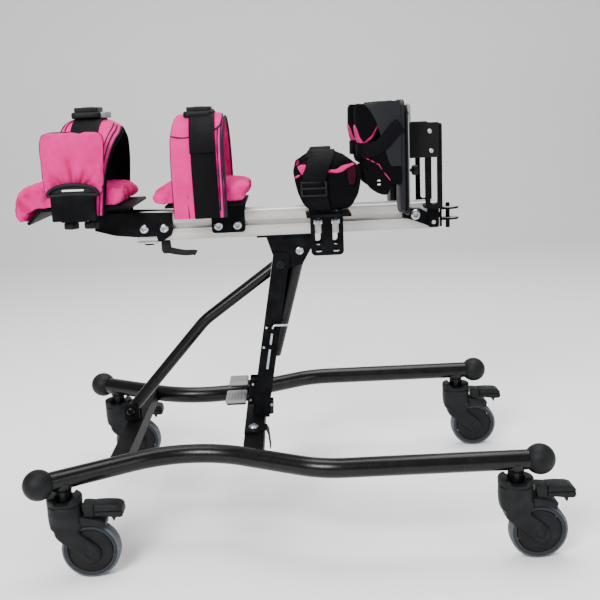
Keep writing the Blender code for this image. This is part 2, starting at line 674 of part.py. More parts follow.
def castor(label, end):
    """A swivel castor: fork and collar with its axle, wheel, and brake pedal."""
    place = castor_places(SIDES[label])[end]
    name = "castor_" + end + "_" + label
    x, y = place.x, place.y
    axle = (x + CASTOR_TRAIL, y, WHEEL_RADIUS)

    shoulder = COLLAR_TOP - 0.004
    collar = [(0.0, COLLAR_TOP), (COLLAR_RADIUS - 0.004, COLLAR_TOP), (COLLAR_RADIUS, shoulder),
              (COLLAR_RADIUS, COLLAR_FOOT), (0.0, COLLAR_FOOT)]
    fork = turned(name + "_fork", collar, (x, y, 0.0), (0, 0, 1), sides=20)
    claw = shifted(FORK_CLAW, axle[0], axle[2])
    outline = shifted(FORK_BACK, x, COLLAR_FOOT) + claw + shifted(FORK_BROW, x, COLLAR_FOOT)
    fuse(fork, plate(name + "_arms", outline, (y - FORK_HALF_WIDTH, y + FORK_HALF_WIDTH), "XZ"))
    inside = FORK_HALF_WIDTH - FORK_CHEEK
    ends = [(axle[0], y + edge, axle[2]) for edge in (-inside, inside)]
    cut(fork, rod(name + "_well", *ends, WHEEL_RADIUS + 0.003, 28))
    ends = [(axle[0], y + edge, axle[2]) for edge in (-inside - 0.002, inside + 0.002)]
    fuse(fork, rod(name + "_axle", *ends, AXLE_RADIUS, 10))
    finish(fork, BLACK_PLASTIC, (x, y, COLLAR_TOP))

    half = WHEEL_WIDTH / 2
    bore = AXLE_RADIUS + PIN_CLEARANCE + 0.0003
    section = [(bore, half), (HUB_RADIUS, half), (HUB_RADIUS + 0.001, half - 0.002),
               (HUB_RADIUS + 0.002, half), (WHEEL_RADIUS - 0.004, half - 0.001),
               (WHEEL_RADIUS, half - 0.007), (WHEEL_RADIUS, 0.007 - half),
               (WHEEL_RADIUS - 0.004, 0.001 - half), (bore, -half)]
    finish(turned(name + "_wheel", section, axle, (0, 1, 0), sides=28, ring=True), GREY_RUBBER, axle)

    wall = x + COLLAR_RADIUS
    outline = shifted(PEDAL_SIDE, wall, COLLAR_FOOT)
    made = plate(name + "_brake_pedal", outline, (y - PEDAL_HALF_WIDTH, y + PEDAL_HALF_WIDTH), "XZ")
    finish(made, BLACK_PLASTIC, (wall + PEDAL_HINGE[0], y, COLLAR_FOOT + PEDAL_HINGE[1]))


def board_rail():
    """The board's aluminium rail, with a T slot along each side."""
    top, bottom, half = BOARD_TOP, BOARD_BOTTOM, BOARD_HALF_WIDTH
    mouth, throat = SLOT_MOUTH / 2, SLOT_MOUTH * 0.9
    right = [
        (half, bottom),
        (half, SLOT_Z - mouth),
        (half - 0.004, SLOT_Z - mouth),
        (half - 0.004, SLOT_Z - throat),
        (half - 0.011, SLOT_Z - throat),
        (half - 0.011, SLOT_Z + throat),
        (half - 0.004, SLOT_Z + throat),
        (half - 0.004, SLOT_Z + mouth),
        (half, SLOT_Z + mouth),
        (half, top),
    ]
    outline = right + [(-y, z) for y, z in reversed(right)]
    finish(plate("board_rail", outline, BOARD_X, "YZ"), ALUMINIUM, (TILT_X, 0.0, TILT_Z))


def pivot_bracket():
    """The plate under the rail with two side plates that hang on the tilt pin."""
    top = BOARD_BOTTOM - GAP
    head, foot = TILT_X - 0.042, STRUT_TOP_X + 0.028
    made = box("pivot_bracket", (head, foot), (-BOARD_HALF_WIDTH, BOARD_HALF_WIDTH), (top - 0.003, top))
    outline = [(TILT_X - 0.025, top - 0.001), (TILT_X - 0.0125, TILT_Z + 0.015), (TILT_X - 0.0110, TILT_Z),
               (TILT_X - 0.0075, TILT_Z - 0.008), (TILT_X, TILT_Z - 0.0115), (TILT_X + 0.009, TILT_Z - 0.010),
               (STRUT_TOP_X + 0.005, STRUT_TOP_Z - 0.0255), (STRUT_TOP_X + 0.023, STRUT_TOP_Z + 0.0055),
               (STRUT_TOP_X + 0.023, top - 0.001)]
    strut_hole = circle((STRUT_TOP_X, STRUT_TOP_Z), STRUT_PIN_RADIUS + PIN_CLEARANCE, 10)
    holes = [circle((TILT_X, TILT_Z), PIN_RADIUS + PIN_CLEARANCE), strut_hole]
    for label, side in SIDES.items():
        fuse(made, plate("pivot_side_" + label, outline, spread(side, *PIVOT_SIDE_Y), "XZ", holes))
    finish(made, BLACK_PAINT, (TILT_X, 0.0, TILT_Z))


def headed_pin(name, centre, radius, head_radius, half_length, head, look):
    """A pin across the frame with a flat head outside each wall it goes through."""
    profile = [(0.0, half_length + head), (head_radius, half_length + head), (head_radius, half_length),
               (radius, half_length), (radius, -half_length), (head_radius, -half_length),
               (head_radius, -half_length - head), (0.0, -half_length - head)]
    pin = turned(name, profile, (centre[0], 0.0, centre[1]), (0, 1, 0), sides=12)
    finish(pin, look, (centre[0], 0.0, centre[1]))


def along_strut(distance):
    """The point that is the given distance down the strut from its top pin."""
    top = Vector((STRUT_TOP_X, 0.0, STRUT_TOP_Z))
    foot = Vector((STRUT_FOOT_X, 0.0, STRUT_FOOT_Z))
    return top + (foot - top).normalized() * distance


def strut():
    """The tilt strut: a cylinder hung on its top pin and the rod that slides in it."""
    start, end = STRUT_CYLINDER
    joint = (STRUT_TOP_X, 0.0, STRUT_TOP_Z)
    made = rod("strut_cylinder", along_strut(start), along_strut(end), STRUT_RADIUS, 18)
    ends = [(STRUT_TOP_X, side * STRUT_EYE_HALF, STRUT_TOP_Z) for side in (-1, 1)]
    fuse(made, rod("strut_eye", *ends, STRUT_EYE_RADIUS, 16))
    ends = [(STRUT_TOP_X, side * (STRUT_EYE_HALF + 0.008), STRUT_TOP_Z) for side in (-1, 1)]
    cut(made, rod("strut_eye_hole", *ends, STRUT_PIN_RADIUS + PIN_CLEARANCE, 10))
    cut(made, rod("strut_bore", along_strut(0.024), along_strut(end + 0.01), STRUT_ROD_RADIUS + 0.0005, 12))
    finish(made, BLACK_PAINT, joint)
    inner = rod("strut_rod", along_strut(STRUT_ROD[0]), along_strut(STRUT_ROD[1]), STRUT_ROD_RADIUS, 12)
    finish(inner, STEEL, tuple(along_strut(STRUT_ROD[0])))


def latch():
    """A barrel bolt on the mast's near wall: a plate with two keepers and a bent rod."""
    face = -(MAST_HALF_WIDTH + GAP)
    low, high = LATCH_PLATE_SPAN
    made = lean(box("latch_plate", (-0.0135, 0.0135), (face - 0.0025, face), (low, high)))
    for number, height in enumerate((low + 0.008, high - 0.008)):
        keeper_y, keeper_z = (face - 0.0115, face - 0.002), (height - 0.004, height + 0.004)
        fuse(made, lean(box("keeper_%d" % number, (-0.0065, 0.0085), keeper_y, keeper_z)))
    bar_y, bar_x = face - 0.0070, 0.001
    ends = [(bar_x, bar_y, height) for height in (low - 0.01, high + 0.01)]
    cut(made, lean(rod("keeper_holes", *ends, LATCH_ROD_RADIUS + 0.0005, 12)))
    finish(made, BLACK_PAINT)
    top = high + 0.003
    reach = Vector((math.cos(MAST_LEAN), math.sin(MAST_LEAN))) * LATCH_ROD_REACH
    corners = [(bar_x, bar_y, LATCH_ROD_FOOT), (bar_x, bar_y, top), (bar_x + reach.x, bar_y, top + reach.y)]
    made = lean(tube("latch_rod", bent(corners, (0.006,), 4), LATCH_ROD_RADIUS, sides=8))
    finish(made, STEEL)


def pedal(name, pivot, pad, half_width):
    """A foot pedal: a pad on an arm, and the hub with its pin between the mast's ears."""
    pad_x = (pivot[0] + pad[0][0], pivot[0] + pad[0][1])
    pad_z = pivot[1] + pad[1]
    made = box(name, pad_x, (-half_width, half_width), (pad_z - 0.004, pad_z + 0.004))
    arm = [(pivot[0] + 0.003, pivot[1] - 0.004), (pivot[0] + 0.003, pivot[1] + 0.004),
           (pad_x[1] - 0.006, pad_z + 0.003), (pad_x[1] - 0.006, pad_z - 0.003)]
    fuse(made, plate(name + "_arm", arm, (-0.008, 0.008), "XZ"))
    inner, outer = PEDAL_EAR_Y[0] - 0.0005, PEDAL_EAR_Y[1]
    fuse(made, rod(name + "_hub", (pivot[0], -inner, pivot[1]), (pivot[0], inner, pivot[1]), 0.0048, 12))
    fuse(made, rod(name + "_pin", (pivot[0], -outer, pivot[1]), (pivot[0], outer, pivot[1]), 0.0025, 8))
    finish(made, GREY_PLASTIC, (pivot[0], 0.0, pivot[1]))


def chest_arm(label):
    """The gooseneck plate that carries the chest section from the rail's side slot."""
    span = spread(SIDES[label], BOARD_HALF_WIDTH + GAP, BOARD_HALF_WIDTH + GAP + PLATE_THICKNESS)
    finish(plate("chest_arm_" + label, over_board(CHEST_ARM_SIDE), span, "XZ"), BLACK_PAINT)


def chest_clamp():
    """The lever under the rail that clamps the chest section where it is set."""
    under = BOARD_BOTTOM - CLAMP_DROP
    hub = [(0.0, 0.0), (0.8 * CLAMP_RADIUS, 0.0), (CLAMP_RADIUS, -0.006), (CLAMP_RADIUS, -0.022),
           (0.75 * CLAMP_RADIUS, -0.026), (0.0, -0.026)]
    made = turned("chest_clamp_lever", hub, (CLAMP_X, 0.0, under), (0, 0, 1), 14)
    arm = [(0.0, -0.024), (0.052, -0.034), (0.054, -0.029), (0.040, -0.024), (0.0, -0.012)]
    fuse(made, plate("clamp_arm", shifted(arm, CLAMP_X, under), (-0.005, 0.005), "XZ"))
    finish(made, BLACK_PLASTIC, (CLAMP_X, 0.0, under))


def chest_tray():
    """The bent tray under the chest cushion, on two legs between the gooseneck arms."""
    half = CHEST_TRAY_HALF_WIDTH
    made = plate("chest_tray", over_board(CHEST_TRAY_SIDE), (-half, half), "XZ")
    for label, side in SIDES.items():
        leg_y = spread(side, BOARD_HALF_WIDTH - 0.0055, BOARD_HALF_WIDTH)
        fuse(made, box("tray_leg_" + label, TRAY_LEG_X, leg_y, (BOARD_TOP - 0.021, BOARD_TOP + 0.020)))
    guide_y = (TRAY_GUIDE_INSET - half, half - TRAY_GUIDE_INSET)
    guide_z = (LATERAL_FOOT_Z[1] + GAP, BOARD_TOP + 0.019)
    fuse(made, box("tray_guide", TRAY_GUIDE_X, guide_y, guide_z))
    finish(made, BLACK_PAINT)


def chest_cushion():
    """The padded back rest, rolled down at its head end."""
    half = CHEST_CUSHION_HALF_WIDTH
    made = plate("chest_cushion", over_board(CHEST_CUSHION_SIDE), (-half, half), "XZ")
    soften(made, 0.006)
    finish(made, PINK_FABRIC)


def lateral(label):
    """One side's lateral bracket, with its webbing slot, and the pad it carries."""
    side = SIDES[label]
    inner = CHEST_BAND_OUTER + 0.0010
    outer = inner + PAD_THICKNESS
    outline = rounded(rectangle(PAD_X, PAD_Z), 0.012)
    pad = plate("chest_pad_" + label, outline, spread(side, inner, outer), "XZ")
    soften(pad, 0.0035)
    finish(pad, PINK_FABRIC)
    middle = (PAD_X[0] + PAD_X[1]) / 2 - 0.0065
    half = 0.0385
    right = [(half, -0.001), (half, 0.047), (half + 0.004, 0.053), (half - 0.010, 0.064), (0.016, 0.069)]
    left = [(-along, height) for along, height in reversed(right)]
    plate_outline = shifted(right + left, middle, BOARD_TOP)
    slot_z = (BOARD_TOP + 0.0525, BOARD_TOP + 0.0585)
    slot = rounded(rectangle((middle - 0.021, middle + 0.021), slot_z), 0.0025)
    span = spread(side, outer + GAP, outer + 0.0045)
    made = plate("chest_bracket_" + label, plate_outline, span, "XZ", [slot])
    foot_y = spread(side, 0.040, outer + 0.001)
    fuse(made, box("lateral_foot_" + label, (middle - 0.022, middle + 0.022), foot_y, LATERAL_FOOT_Z))
    finish(made, BLACK_PAINT)


def band(name, x, outer, thickness, z):
    """A padded band that arches over the body and hangs down both sides."""
    foot, top = z
    over = arch(outer, foot, top)
    under = arch(outer - thickness, foot, top - thickness)
    made = plate(name, over + list(reversed(under)), x, "YZ")
    smooth(made)
    finish(made, PINK_FABRIC)


def hip_bracket():
    """The hip tray with a side plate down each side of the rail."""
    half = HIP_TRAY_HALF_WIDTH
    made = box("hip_bracket", HIP_TRAY_X, (-half, half), (HIP_TRAY_TOP - 0.005, HIP_TRAY_TOP))
    outline = rounded(rectangle(HIP_SIDE_X, (BOARD_BOTTOM + 0.0095, HIP_TRAY_TOP - 0.002)), 0.006)
    for label, side in SIDES.items():
        span = spread(side, BOARD_HALF_WIDTH + GAP, BOARD_HALF_WIDTH + GAP + PLATE_THICKNESS)
        fuse(made, plate("hip_side_" + label, outline, span, "XZ"))
    finish(made, BLACK_PAINT)


def hip_cushion():
    """The hip pad, with a rounded nose at its head end."""
    half = HIP_CUSHION_HALF_WIDTH
    made = plate("hip_cushion", over_board(HIP_CUSHION_SIDE), (-half, half), "XZ")
    soften(made, 0.006)
    finish(made, PINK_FABRIC)


def knee_bracket(label):
    """A slotted plate on the rail's side with a shelf that carries the knee cuff."""
    side = SIDES[label]
    x, z = KNEE_BRACKET_X, KNEE_BRACKET_Z
    middle = sum(x) / 2
    holes = []
    for offset in (-KNEE_SLOT_PITCH / 2, KNEE_SLOT_PITCH / 2):
        u = (middle + offset - KNEE_SLOT_WIDTH / 2, middle + offset + KNEE_SLOT_WIDTH / 2)
        holes.append(rounded(rectangle(u, (z[0] + 0.0195, z[1] - 0.009)), 0.0055))
        holes.append(rounded(rectangle(u, (z[0] + 0.006, z[0] + 0.0135)), 0.003, 2))
    outline = rounded(rectangle(x, z), 0.008)
    inner = BOARD_HALF_WIDTH + GAP
    span = spread(side, inner, inner + KNEE_BRACKET_THICKNESS)
    made = plate("knee_bracket_" + label, outline, span, "XZ", holes)
    shelf_x = (CUFF_X[0] + 0.020, CUFF_X[1] - 0.020)
    shelf_y = spread(side, inner + 0.001, KNEE_SHELF_Y)
    fuse(made, box("knee_shelf_" + label, shelf_x, shelf_y, (KNEE_SHELF_Z - 0.005, KNEE_SHELF_Z)))
    neck_x, neck_z = (x[0] + 0.009, x[1] - 0.009), (z[1] - 0.003, KNEE_SHELF_Z - 0.001)
    fuse(made, box("knee_neck_" + label, neck_x, span, neck_z))
    finish(made, BLACK_PAINT)


def knee_cuff(label):
    """The padded cuff that goes round one knee."""
    outer, inner = CUFF_RADIUS, CUFF_RADIUS - CUFF_THICKNESS
    half = (CUFF_X[1] - CUFF_X[0]) / 2
    lip = outer - 0.009
    section = [(lip, half), (outer, half - 0.022), (outer, 0.022 - half), (lip, -half), (inner, -half),
               (inner, half)]
    centre = (sum(CUFF_X) / 2, SIDES[label] * CUFF_Y, CUFF_Z)
    finish(turned("knee_cuff_" + label, section, centre, (1, 0, 0), sides=24, ring=True), BLACK_FABRIC)


def foot_side_plate(label):
    """The short arm from the rail's side slot to the height bar's pivot."""
    outline = shifted(FOOT_PLATE_SIDE, *FOOT_PIVOT)
    inner = BOARD_HALF_WIDTH + GAP
    span = spread(SIDES[label], inner, inner + PLATE_THICKNESS)
    holes = [circle(FOOT_PIVOT, FOOT_PIVOT_HOLE, 10)]
    finish(plate("foot_side_plate_" + label, outline, span, "XZ", holes), BLACK_PAINT)


def foot_bar(label):
    """The slotted height bar, stepped outwards from its pivot lug."""
    side = SIDES[label]
    outline = rounded(rectangle(BAR_X, BAR_Z), 0.004)
    slot = rounded(rectangle((BAR_X[0] + 0.009, BAR_X[1] - 0.009), BAR_SLOT), 0.006)
    made = plate("foot_bar_" + label, outline, spread(side, BAR_Y, BAR_Y + BAR_THICKNESS), "XZ", [slot])
    lug_in = BOARD_HALF_WIDTH + 2 * GAP + PLATE_THICKNESS
    step_y = spread(side, lug_in + 0.0002, BAR_Y + 0.001)
    step = box("bar_step_" + label, BAR_X, step_y, (BAR_Z[0] + 0.0005, BAR_Z[0] + 0.0055))
    lug_x = (FOOT_PIVOT[0] - 0.010, FOOT_PIVOT[0] + 0.010)
    lug = rounded(rectangle(lug_x, (FOOT_PIVOT[1] - 0.010, BAR_Z[0] + 0.004)), 0.004)
    hole = circle(FOOT_PIVOT, FOOT_PIVOT_HOLE, 10)
    fuse(made, step, plate("bar_lug_" + label, lug, spread(side, lug_in, lug_in + 0.0045), "XZ", [hole]))
    finish(made, BLACK_PAINT, (FOOT_PIVOT[0], side * BAR_Y, FOOT_PIVOT[1]))


def footplate(label):
    """The upright plate behind the sandal, with the bracket that clamps it to the bar."""
    side = SIDES[label]
    outline = rounded(rectangle(spread(side, *FOOTPLATE_Y), FOOTPLATE_Z), 0.020)
    made = plate("footplate_" + label, outline, FOOTPLATE_X, "YZ")
    bracket_y = BAR_Y + BAR_THICKNESS + GAP
    bracket_z = (BAR_Z[1] - 0.060, BAR_Z[1] + 0.002)
    bracket = rounded(rectangle((FOOTPLATE_X[0] + 0.002, BAR_X[1] - 0.006), bracket_z), 0.002, 2)
    fuse(made, plate("footplate_bracket_" + label, bracket, spread(side, bracket_y, bracket_y + 0.004), "XZ"))
    finish(made, BLACK_PAINT)


def sandal(label):
    """A strap-on sandal: sole, heel cup and vamp band in one shell."""
    side = SIDES[label]
    y0, y1 = SANDAL_Y
    outline = rounded(rectangle(spread(side, y0, y1), SOLE_Z), 0.022, 4)
    made = plate("sandal_" + label, outline, SOLE_X, "YZ")
    heel = rounded(rectangle(spread(side, y0 + 0.002, y1 - 0.002), (SOLE_Z[0] + 0.004, HEEL_TOP)), 0.018, 4)
    inside = spread(side, y0 + SANDAL_WALL, y1 - SANDAL_WALL)
    hollow = rounded(rectangle(inside, (SOLE_Z[0] + 0.010, VAMP_Z[1] - 0.023)), 0.014, 4)
    fuse(made, plate("sandal_cup_" + label, heel, (HEEL_X, SOLE_X[0] + 0.001), "YZ"))
    vamp = rounded(rectangle(spread(side, y0, y1), VAMP_Z), 0.020, 4)
    fuse(made, plate("sandal_vamp_" + label, vamp, (VAMP_X, SOLE_X[0] + 0.001), "YZ"))
    cut(made, plate("sandal_hollow_" + label, hollow, (0.100, SOLE_X[0]), "YZ"))
    slope = shifted(SANDAL_SLOPE, 0.0, SOLE_Z[0])
    cut(made, plate("sandal_slope_" + label, slope, spread(side, y0 - 0.010, y1 + 0.010), "XZ"))
    finish(made, BLACK_PLASTIC)


def foot_cross_block():
    """The end block on the rail: an end plate, a post and two round-nosed plates."""
    start = BOARD_X[1] + GAP
    half = BOARD_HALF_WIDTH - 0.001
    end_z = (BOARD_BOTTOM + 0.003, BOARD_TOP - 0.003)
    made = box("foot_cross_block", (start, start + 0.004), (-half, half), end_z)
    for number, low in enumerate((BOARD_BOTTOM + 0.014, BOARD_BOTTOM + 0.034)):
        nose = [(0.003, -0.020), (0.022, -0.020), (0.034, -0.014), (0.040, 0.0), (0.034, 0.014), (0.022, 0.020),
                (0.003, 0.020)]
        fuse(made, plate("nose_plate_%d" % number, shifted(nose, start, 0.0), (low, low + 0.003), "XY"))
    ends = [(start + 0.019, 0.0, height) for height in (BOARD_BOTTOM - 0.002, BOARD_TOP - 0.005)]
    fuse(made, rod("nose_bolt", *ends, 0.004, 10))
    finish(made, STEEL)


def build():
    """Make every sub-part of the frame."""
    for label in SIDES:
        side_rail(label)
        for end in ("head", "foot"):
            ball_cap(label, end)
            castor(label, end)
    cross_tube("front_cross_tube", FRONT_CROSS_X)
    cross_tube("centre_cross_tube", CENTRE_CROSS_X)
    brace_clevis()
    brace_tube()
    mast()
    mast_hook()
    board_rail()
    pivot_bracket()
    headed_pin("pivot_pin", (TILT_X, TILT_Z), PIN_RADIUS, 0.008, MAST_HALF_WIDTH + GAP, 0.004, BLACK_PAINT)
    strut_top, reach = (STRUT_TOP_X, STRUT_TOP_Z), PIVOT_SIDE_Y[1] + GAP
    headed_pin("strut_top_pin", strut_top, STRUT_PIN_RADIUS, 0.0082, reach, 0.0035, STEEL)
    strut()
    latch()
    pedal("pump_pedal", PUMP_PIVOT, PUMP_PAD, PUMP_PAD_HALF_WIDTH)
    pedal("release_pedal", RELEASE_PIVOT, RELEASE_PAD, RELEASE_PAD_HALF_WIDTH)
    chest_clamp()
    chest_tray()
    chest_cushion()
    chest_band_z = (CHEST_BAND_FOOT, CHEST_BAND_TOP)
    band("chest_band", CHEST_BAND_X, CHEST_BAND_OUTER, CHEST_BAND_THICKNESS, chest_band_z)
    hip_bracket()
    hip_cushion()
    band("hip_wrap", HIP_WRAP_X, HIP_WRAP_OUTER, HIP_WRAP_THICKNESS, (HIP_WRAP_FOOT, HIP_WRAP_TOP))
    for label in SIDES:
        chest_arm(label)
        lateral(label)
        knee_bracket(label)
        knee_cuff(label)
        foot_side_plate(label)
        foot_bar(label)
        footplate(label)
        sandal(label)
    foot_cross_block()


build()
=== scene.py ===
"""Supine standing frame: the looks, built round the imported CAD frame.

Metres, +Z up, the head end at -X and the camera's side at -Y. Every new piece is a surface
worked out with numpy in the frame's own coordinates and rides on one of the CAD bodies.
"""

import json
import math

import bmesh
import bpy
import numpy as np
from mathutils import Matrix, Vector

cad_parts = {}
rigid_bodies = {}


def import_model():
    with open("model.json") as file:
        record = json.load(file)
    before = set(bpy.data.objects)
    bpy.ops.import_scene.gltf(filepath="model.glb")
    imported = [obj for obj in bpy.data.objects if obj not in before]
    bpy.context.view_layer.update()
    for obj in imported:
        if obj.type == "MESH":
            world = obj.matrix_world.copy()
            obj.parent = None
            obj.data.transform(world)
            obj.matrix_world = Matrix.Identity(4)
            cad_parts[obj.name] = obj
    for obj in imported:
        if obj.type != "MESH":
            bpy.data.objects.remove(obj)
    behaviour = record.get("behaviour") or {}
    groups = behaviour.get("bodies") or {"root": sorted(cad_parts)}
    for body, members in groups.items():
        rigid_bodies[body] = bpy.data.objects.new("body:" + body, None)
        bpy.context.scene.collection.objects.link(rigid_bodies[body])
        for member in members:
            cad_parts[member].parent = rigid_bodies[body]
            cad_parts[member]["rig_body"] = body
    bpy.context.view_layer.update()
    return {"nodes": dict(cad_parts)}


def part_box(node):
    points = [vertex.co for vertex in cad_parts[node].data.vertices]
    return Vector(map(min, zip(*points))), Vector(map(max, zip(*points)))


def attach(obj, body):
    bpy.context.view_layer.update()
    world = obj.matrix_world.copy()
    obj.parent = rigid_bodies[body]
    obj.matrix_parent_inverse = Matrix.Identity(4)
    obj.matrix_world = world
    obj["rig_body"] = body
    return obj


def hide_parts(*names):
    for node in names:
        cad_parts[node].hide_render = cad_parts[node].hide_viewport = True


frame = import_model()
NODES = frame["nodes"]
SIDES = {"near": -1, "far": 1}
PI = math.pi
# Points closer than this are one
MERGE = 1e-6
# The gap between two pieces that touch on the real frame
GAP = 0.0003
# Where the footplates' bare outer edge begins: out from the middle, and along X
FOOTPLATE_EDGE = abs(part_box("footplate_near")[0].y) - 0.0012
FOOTPLATE_BACK = 0.2290


# Shader maths

class Value:
    """A shader socket that adds, multiplies and compares like a number."""

    def __init__(self, finish, socket):
        self.finish, self.socket = finish, socket

    def maths(self, operation, *others, flip=False):
        terms = [self, *others]
        if flip:
            terms.reverse()
        made = self.finish.node("ShaderNodeMath", {"operation": operation}, dict(enumerate(terms)))
        return Value(self.finish, made.outputs[0])

    def __add__(self, other):
        return self.maths("ADD", other)

    def __sub__(self, other):
        return self.maths("SUBTRACT", other)

    def __rsub__(self, other):
        return self.maths("SUBTRACT", other, flip=True)

    def __mul__(self, other):
        return self.maths("MULTIPLY", other)

    __radd__, __rmul__ = __add__, __mul__

    def sine(self):
        return self.maths("SINE")

    def size(self):
        return self.maths("ABSOLUTE")

    def above(self, edge, softness):
        """0 below the edge and 1 above it, with a soft step between."""
        low, high = edge - softness / 2, edge + softness / 2
        values = {0: self, 1: low, 2: high}
        settings = {"interpolation_type": "SMOOTHSTEP"}
        return Value(self.finish, self.finish.node("ShaderNodeMapRange", settings, values).outputs[0])


class Finish:
    """A material and the few kinds of node that the finishes below are made of."""

    def __init__(self, name, roughness=0.5, metallic=0.0, **fixed):
        self.material = bpy.data.materials.new(name)
        self.material.use_nodes = True
        self.tree = self.material.node_tree
        self.shader = self.tree.nodes["Principled BSDF"]
        self.shader.inputs["Roughness"].default_value = roughness
        self.shader.inputs["Metallic"].default_value = metallic
        for socket, number in fixed.items():
            self.shader.inputs[socket.replace("_", " ")].default_value = number
        self.coordinates = self.node("ShaderNodeTexCoord")
        self.place = self.coordinates.outputs["Object"]

    def node(self, kind, settings=None, values=None):
        """One node of any kind: its settings first, then the values or links of its sockets."""
        made = self.tree.nodes.new(kind)
        for key, setting in (settings or {}).items():
            setattr(made, key, setting)
        for key, value in (values or {}).items():
            socket = made.inputs[key]
            if isinstance(value, Value):
                value = value.socket
            if isinstance(value, bpy.types.NodeSocket):
                self.tree.links.new(value, socket)
            else:
                socket.default_value = value
        return made

    def stretched(self, stretch):
        """The piece's own coordinates multiplied by the stretch."""
        values = {0: self.place, 1: stretch}
        return self.node("ShaderNodeVectorMath", {"operation": "MULTIPLY"}, values).outputs[0]

    def noise(self, scale, detail=2.0, stretch=None, rough=0.5):
        """Cloudy noise from 0 to 1; scale is in cycles per metre."""
        place = self.place if stretch is None else self.stretched(stretch)
        values = {"Vector": place, "Scale": scale, "Detail": detail, "Roughness": rough}
        return Value(self, self.node("ShaderNodeTexNoise", None, values).outputs["Fac"])

    def grains(self, scale):
        """Rounded cells, 0 at each cell's middle."""
        values = {"Vector": self.place, "Scale": scale}
        return Value(self, self.node("ShaderNodeTexVoronoi", None, values).outputs["Distance"])

    def axes(self):
        """The piece's x, y and z in metres."""
        split = self.node("ShaderNodeSeparateXYZ", None, {0: self.place})
        return [Value(self, socket) for socket in split.outputs]

    def lengthwise(self):
        """The distance along and across a strap, in metres, from its own map."""
        mapped = self.node("ShaderNodeUVMap", {"uv_map": "Run"})
        split = self.node("ShaderNodeSeparateXYZ", None, {0: mapped.outputs[0]})
        return [Value(self, socket) for socket in split.outputs[:2]]

    def attribute(self, name):
        """A number that a piece's own mesh carries at each point, 0 where it has none."""
        return Value(self, self.node("ShaderNodeAttribute", {"attribute_name": name}).outputs["Fac"])

    def colour(self, mask, low, high):
        """The colour low where the mask is 0 and high where it is 1."""
        values = {0: mask, 6: (*low, 1.0), 7: (*high, 1.0)}
        mixed = self.node("ShaderNodeMix", {"data_type": "RGBA"}, values)
        self.link(mixed.outputs[2], "Base Color")
        return mixed.outputs[2]

    def again(self, mask, under, high):
        """The colour so far, changed to high where the mask is 1."""
        mixed = self.node("ShaderNodeMix", {"data_type": "RGBA"}, {0: mask, 6: under, 7: (*high, 1.0)})
        self.link(mixed.outputs[2], "Base Color")
        return mixed.outputs[2]

    def link(self, value, socket):
        self.tree.links.new(value.socket if isinstance(value, Value) else value, self.shader.inputs[socket])

    def bump(self, height, depth):
        """Raise the surface by the height, from 0 to 1, times the depth in metres."""
        made = self.node("ShaderNodeBump", None, {"Height": height, "Distance": depth, "Strength": 1.0})
        self.link(made.outputs[0], "Normal")


def powder_coat():
    """Satin black powder coat: orange peel, faint dust and small changes of gloss."""
    made = Finish("powder_coat_black", 0.32, Specular_IOR_Level=0.24)
    dust = made.noise(38.0, 4.0).above(0.62, 0.5)
    made.colour(dust, (0.0018, 0.0019, 0.0024), (0.0048, 0.0050, 0.0058))
    made.link(made.noise(120.0, 3.0) * 0.12 + 0.20, "Roughness")
    made.bump(made.noise(750.0, 1.0) + made.noise(2100.0) * 0.3, 0.00009)
    return made.material


def powder_matt():
    """The flatter powder coat of the plates and square tubes."""
    made = Finish("powder_coat_matt", 0.5, Specular_IOR_Level=0.035)
    dust = made.noise(45.0, 4.0).above(0.60, 0.5)
    made.colour(dust, (0.0030, 0.0031, 0.0036), (0.0075, 0.0078, 0.0086))
    made.link(made.noise(140.0, 3.0) * 0.16 + 0.42, "Roughness")
    made.bump(made.noise(800.0, 1.0) + made.noise(2100.0) * 0.3, 0.00008)
    return made.material


def bared_edge():
    """The footplates: matt black faces, the outer edge bare metal."""
    made = Finish("footplate_black", 0.5, Specular_IOR_Level=0.10)
    x, y, _ = made.axes()
    edge = y.size().above(FOOTPLATE_EDGE, 0.0006) * x.above(FOOTPLATE_BACK, 0.0004)
    faces = made.colour(made.noise(45.0, 4.0), (0.0035, 0.0036, 0.0042), (0.0070, 0.0072, 0.0080))
    made.again(edge, faces, (0.16, 0.17, 0.18))
    made.bump(made.noise(800.0, 1.0), 0.00008)
    return made.material


def moulded_black():
    """Black nylon with the fine spark-eroded grain of a moulding."""
    made = Finish("moulded_black", 0.5, Specular_IOR_Level=0.14)
    made.colour(made.noise(60.0, 4.0).above(0.55, 0.6), (0.0045, 0.0050, 0.0055), (0.0095, 0.0102, 0.0110))
    made.link(made.noise(240.0, 3.0) * 0.2 + 0.38, "Roughness")
    made.bump(made.grains(2600.0) + made.noise(900.0), 0.00010)
    return made.material


def core_rubber():
    """The tyre's harder dark core."""
    made = Finish("core_rubber", 0.6, Specular_IOR_Level=0.2)
    made.colour(made.noise(90.0, 5.0), (0.012, 0.014, 0.017), (0.024, 0.027, 0.031))
    made.bump(made.noise(1400.0, 3.0), 0.00010)
    return made.material


def tyre_grey():
    """Blue-grey soft tread, a little dusty."""
    made = Finish("tyre_grey", 0.62, Specular_IOR_Level=0.35)
    scuffs = made.noise(90.0, 6.0, rough=0.7).above(0.58, 0.3)
    made.colour(scuffs, (0.052, 0.064, 0.076), (0.085, 0.098, 0.110))
    made.link(made.noise(160.0, 4.0) * 0.25 + 0.48, "Roughness")
    made.bump(made.noise(1600.0, 3.0), 0.00012)
    return made.material


def anodised():
    """Drawn aluminium, anodised: fine lines along the rail and a milky sheen."""
    made = Finish("anodised_aluminium", 0.38, 0.85)
    lines = made.noise(1.0, 3.0, stretch=(4.0, 1500.0, 1500.0))
    made.colour(lines, (0.48, 0.468, 0.445), (0.66, 0.645, 0.620))
    made.link(lines * 0.22 + 0.30, "Roughness")
    made.bump(lines, 0.00004)
    return made.material


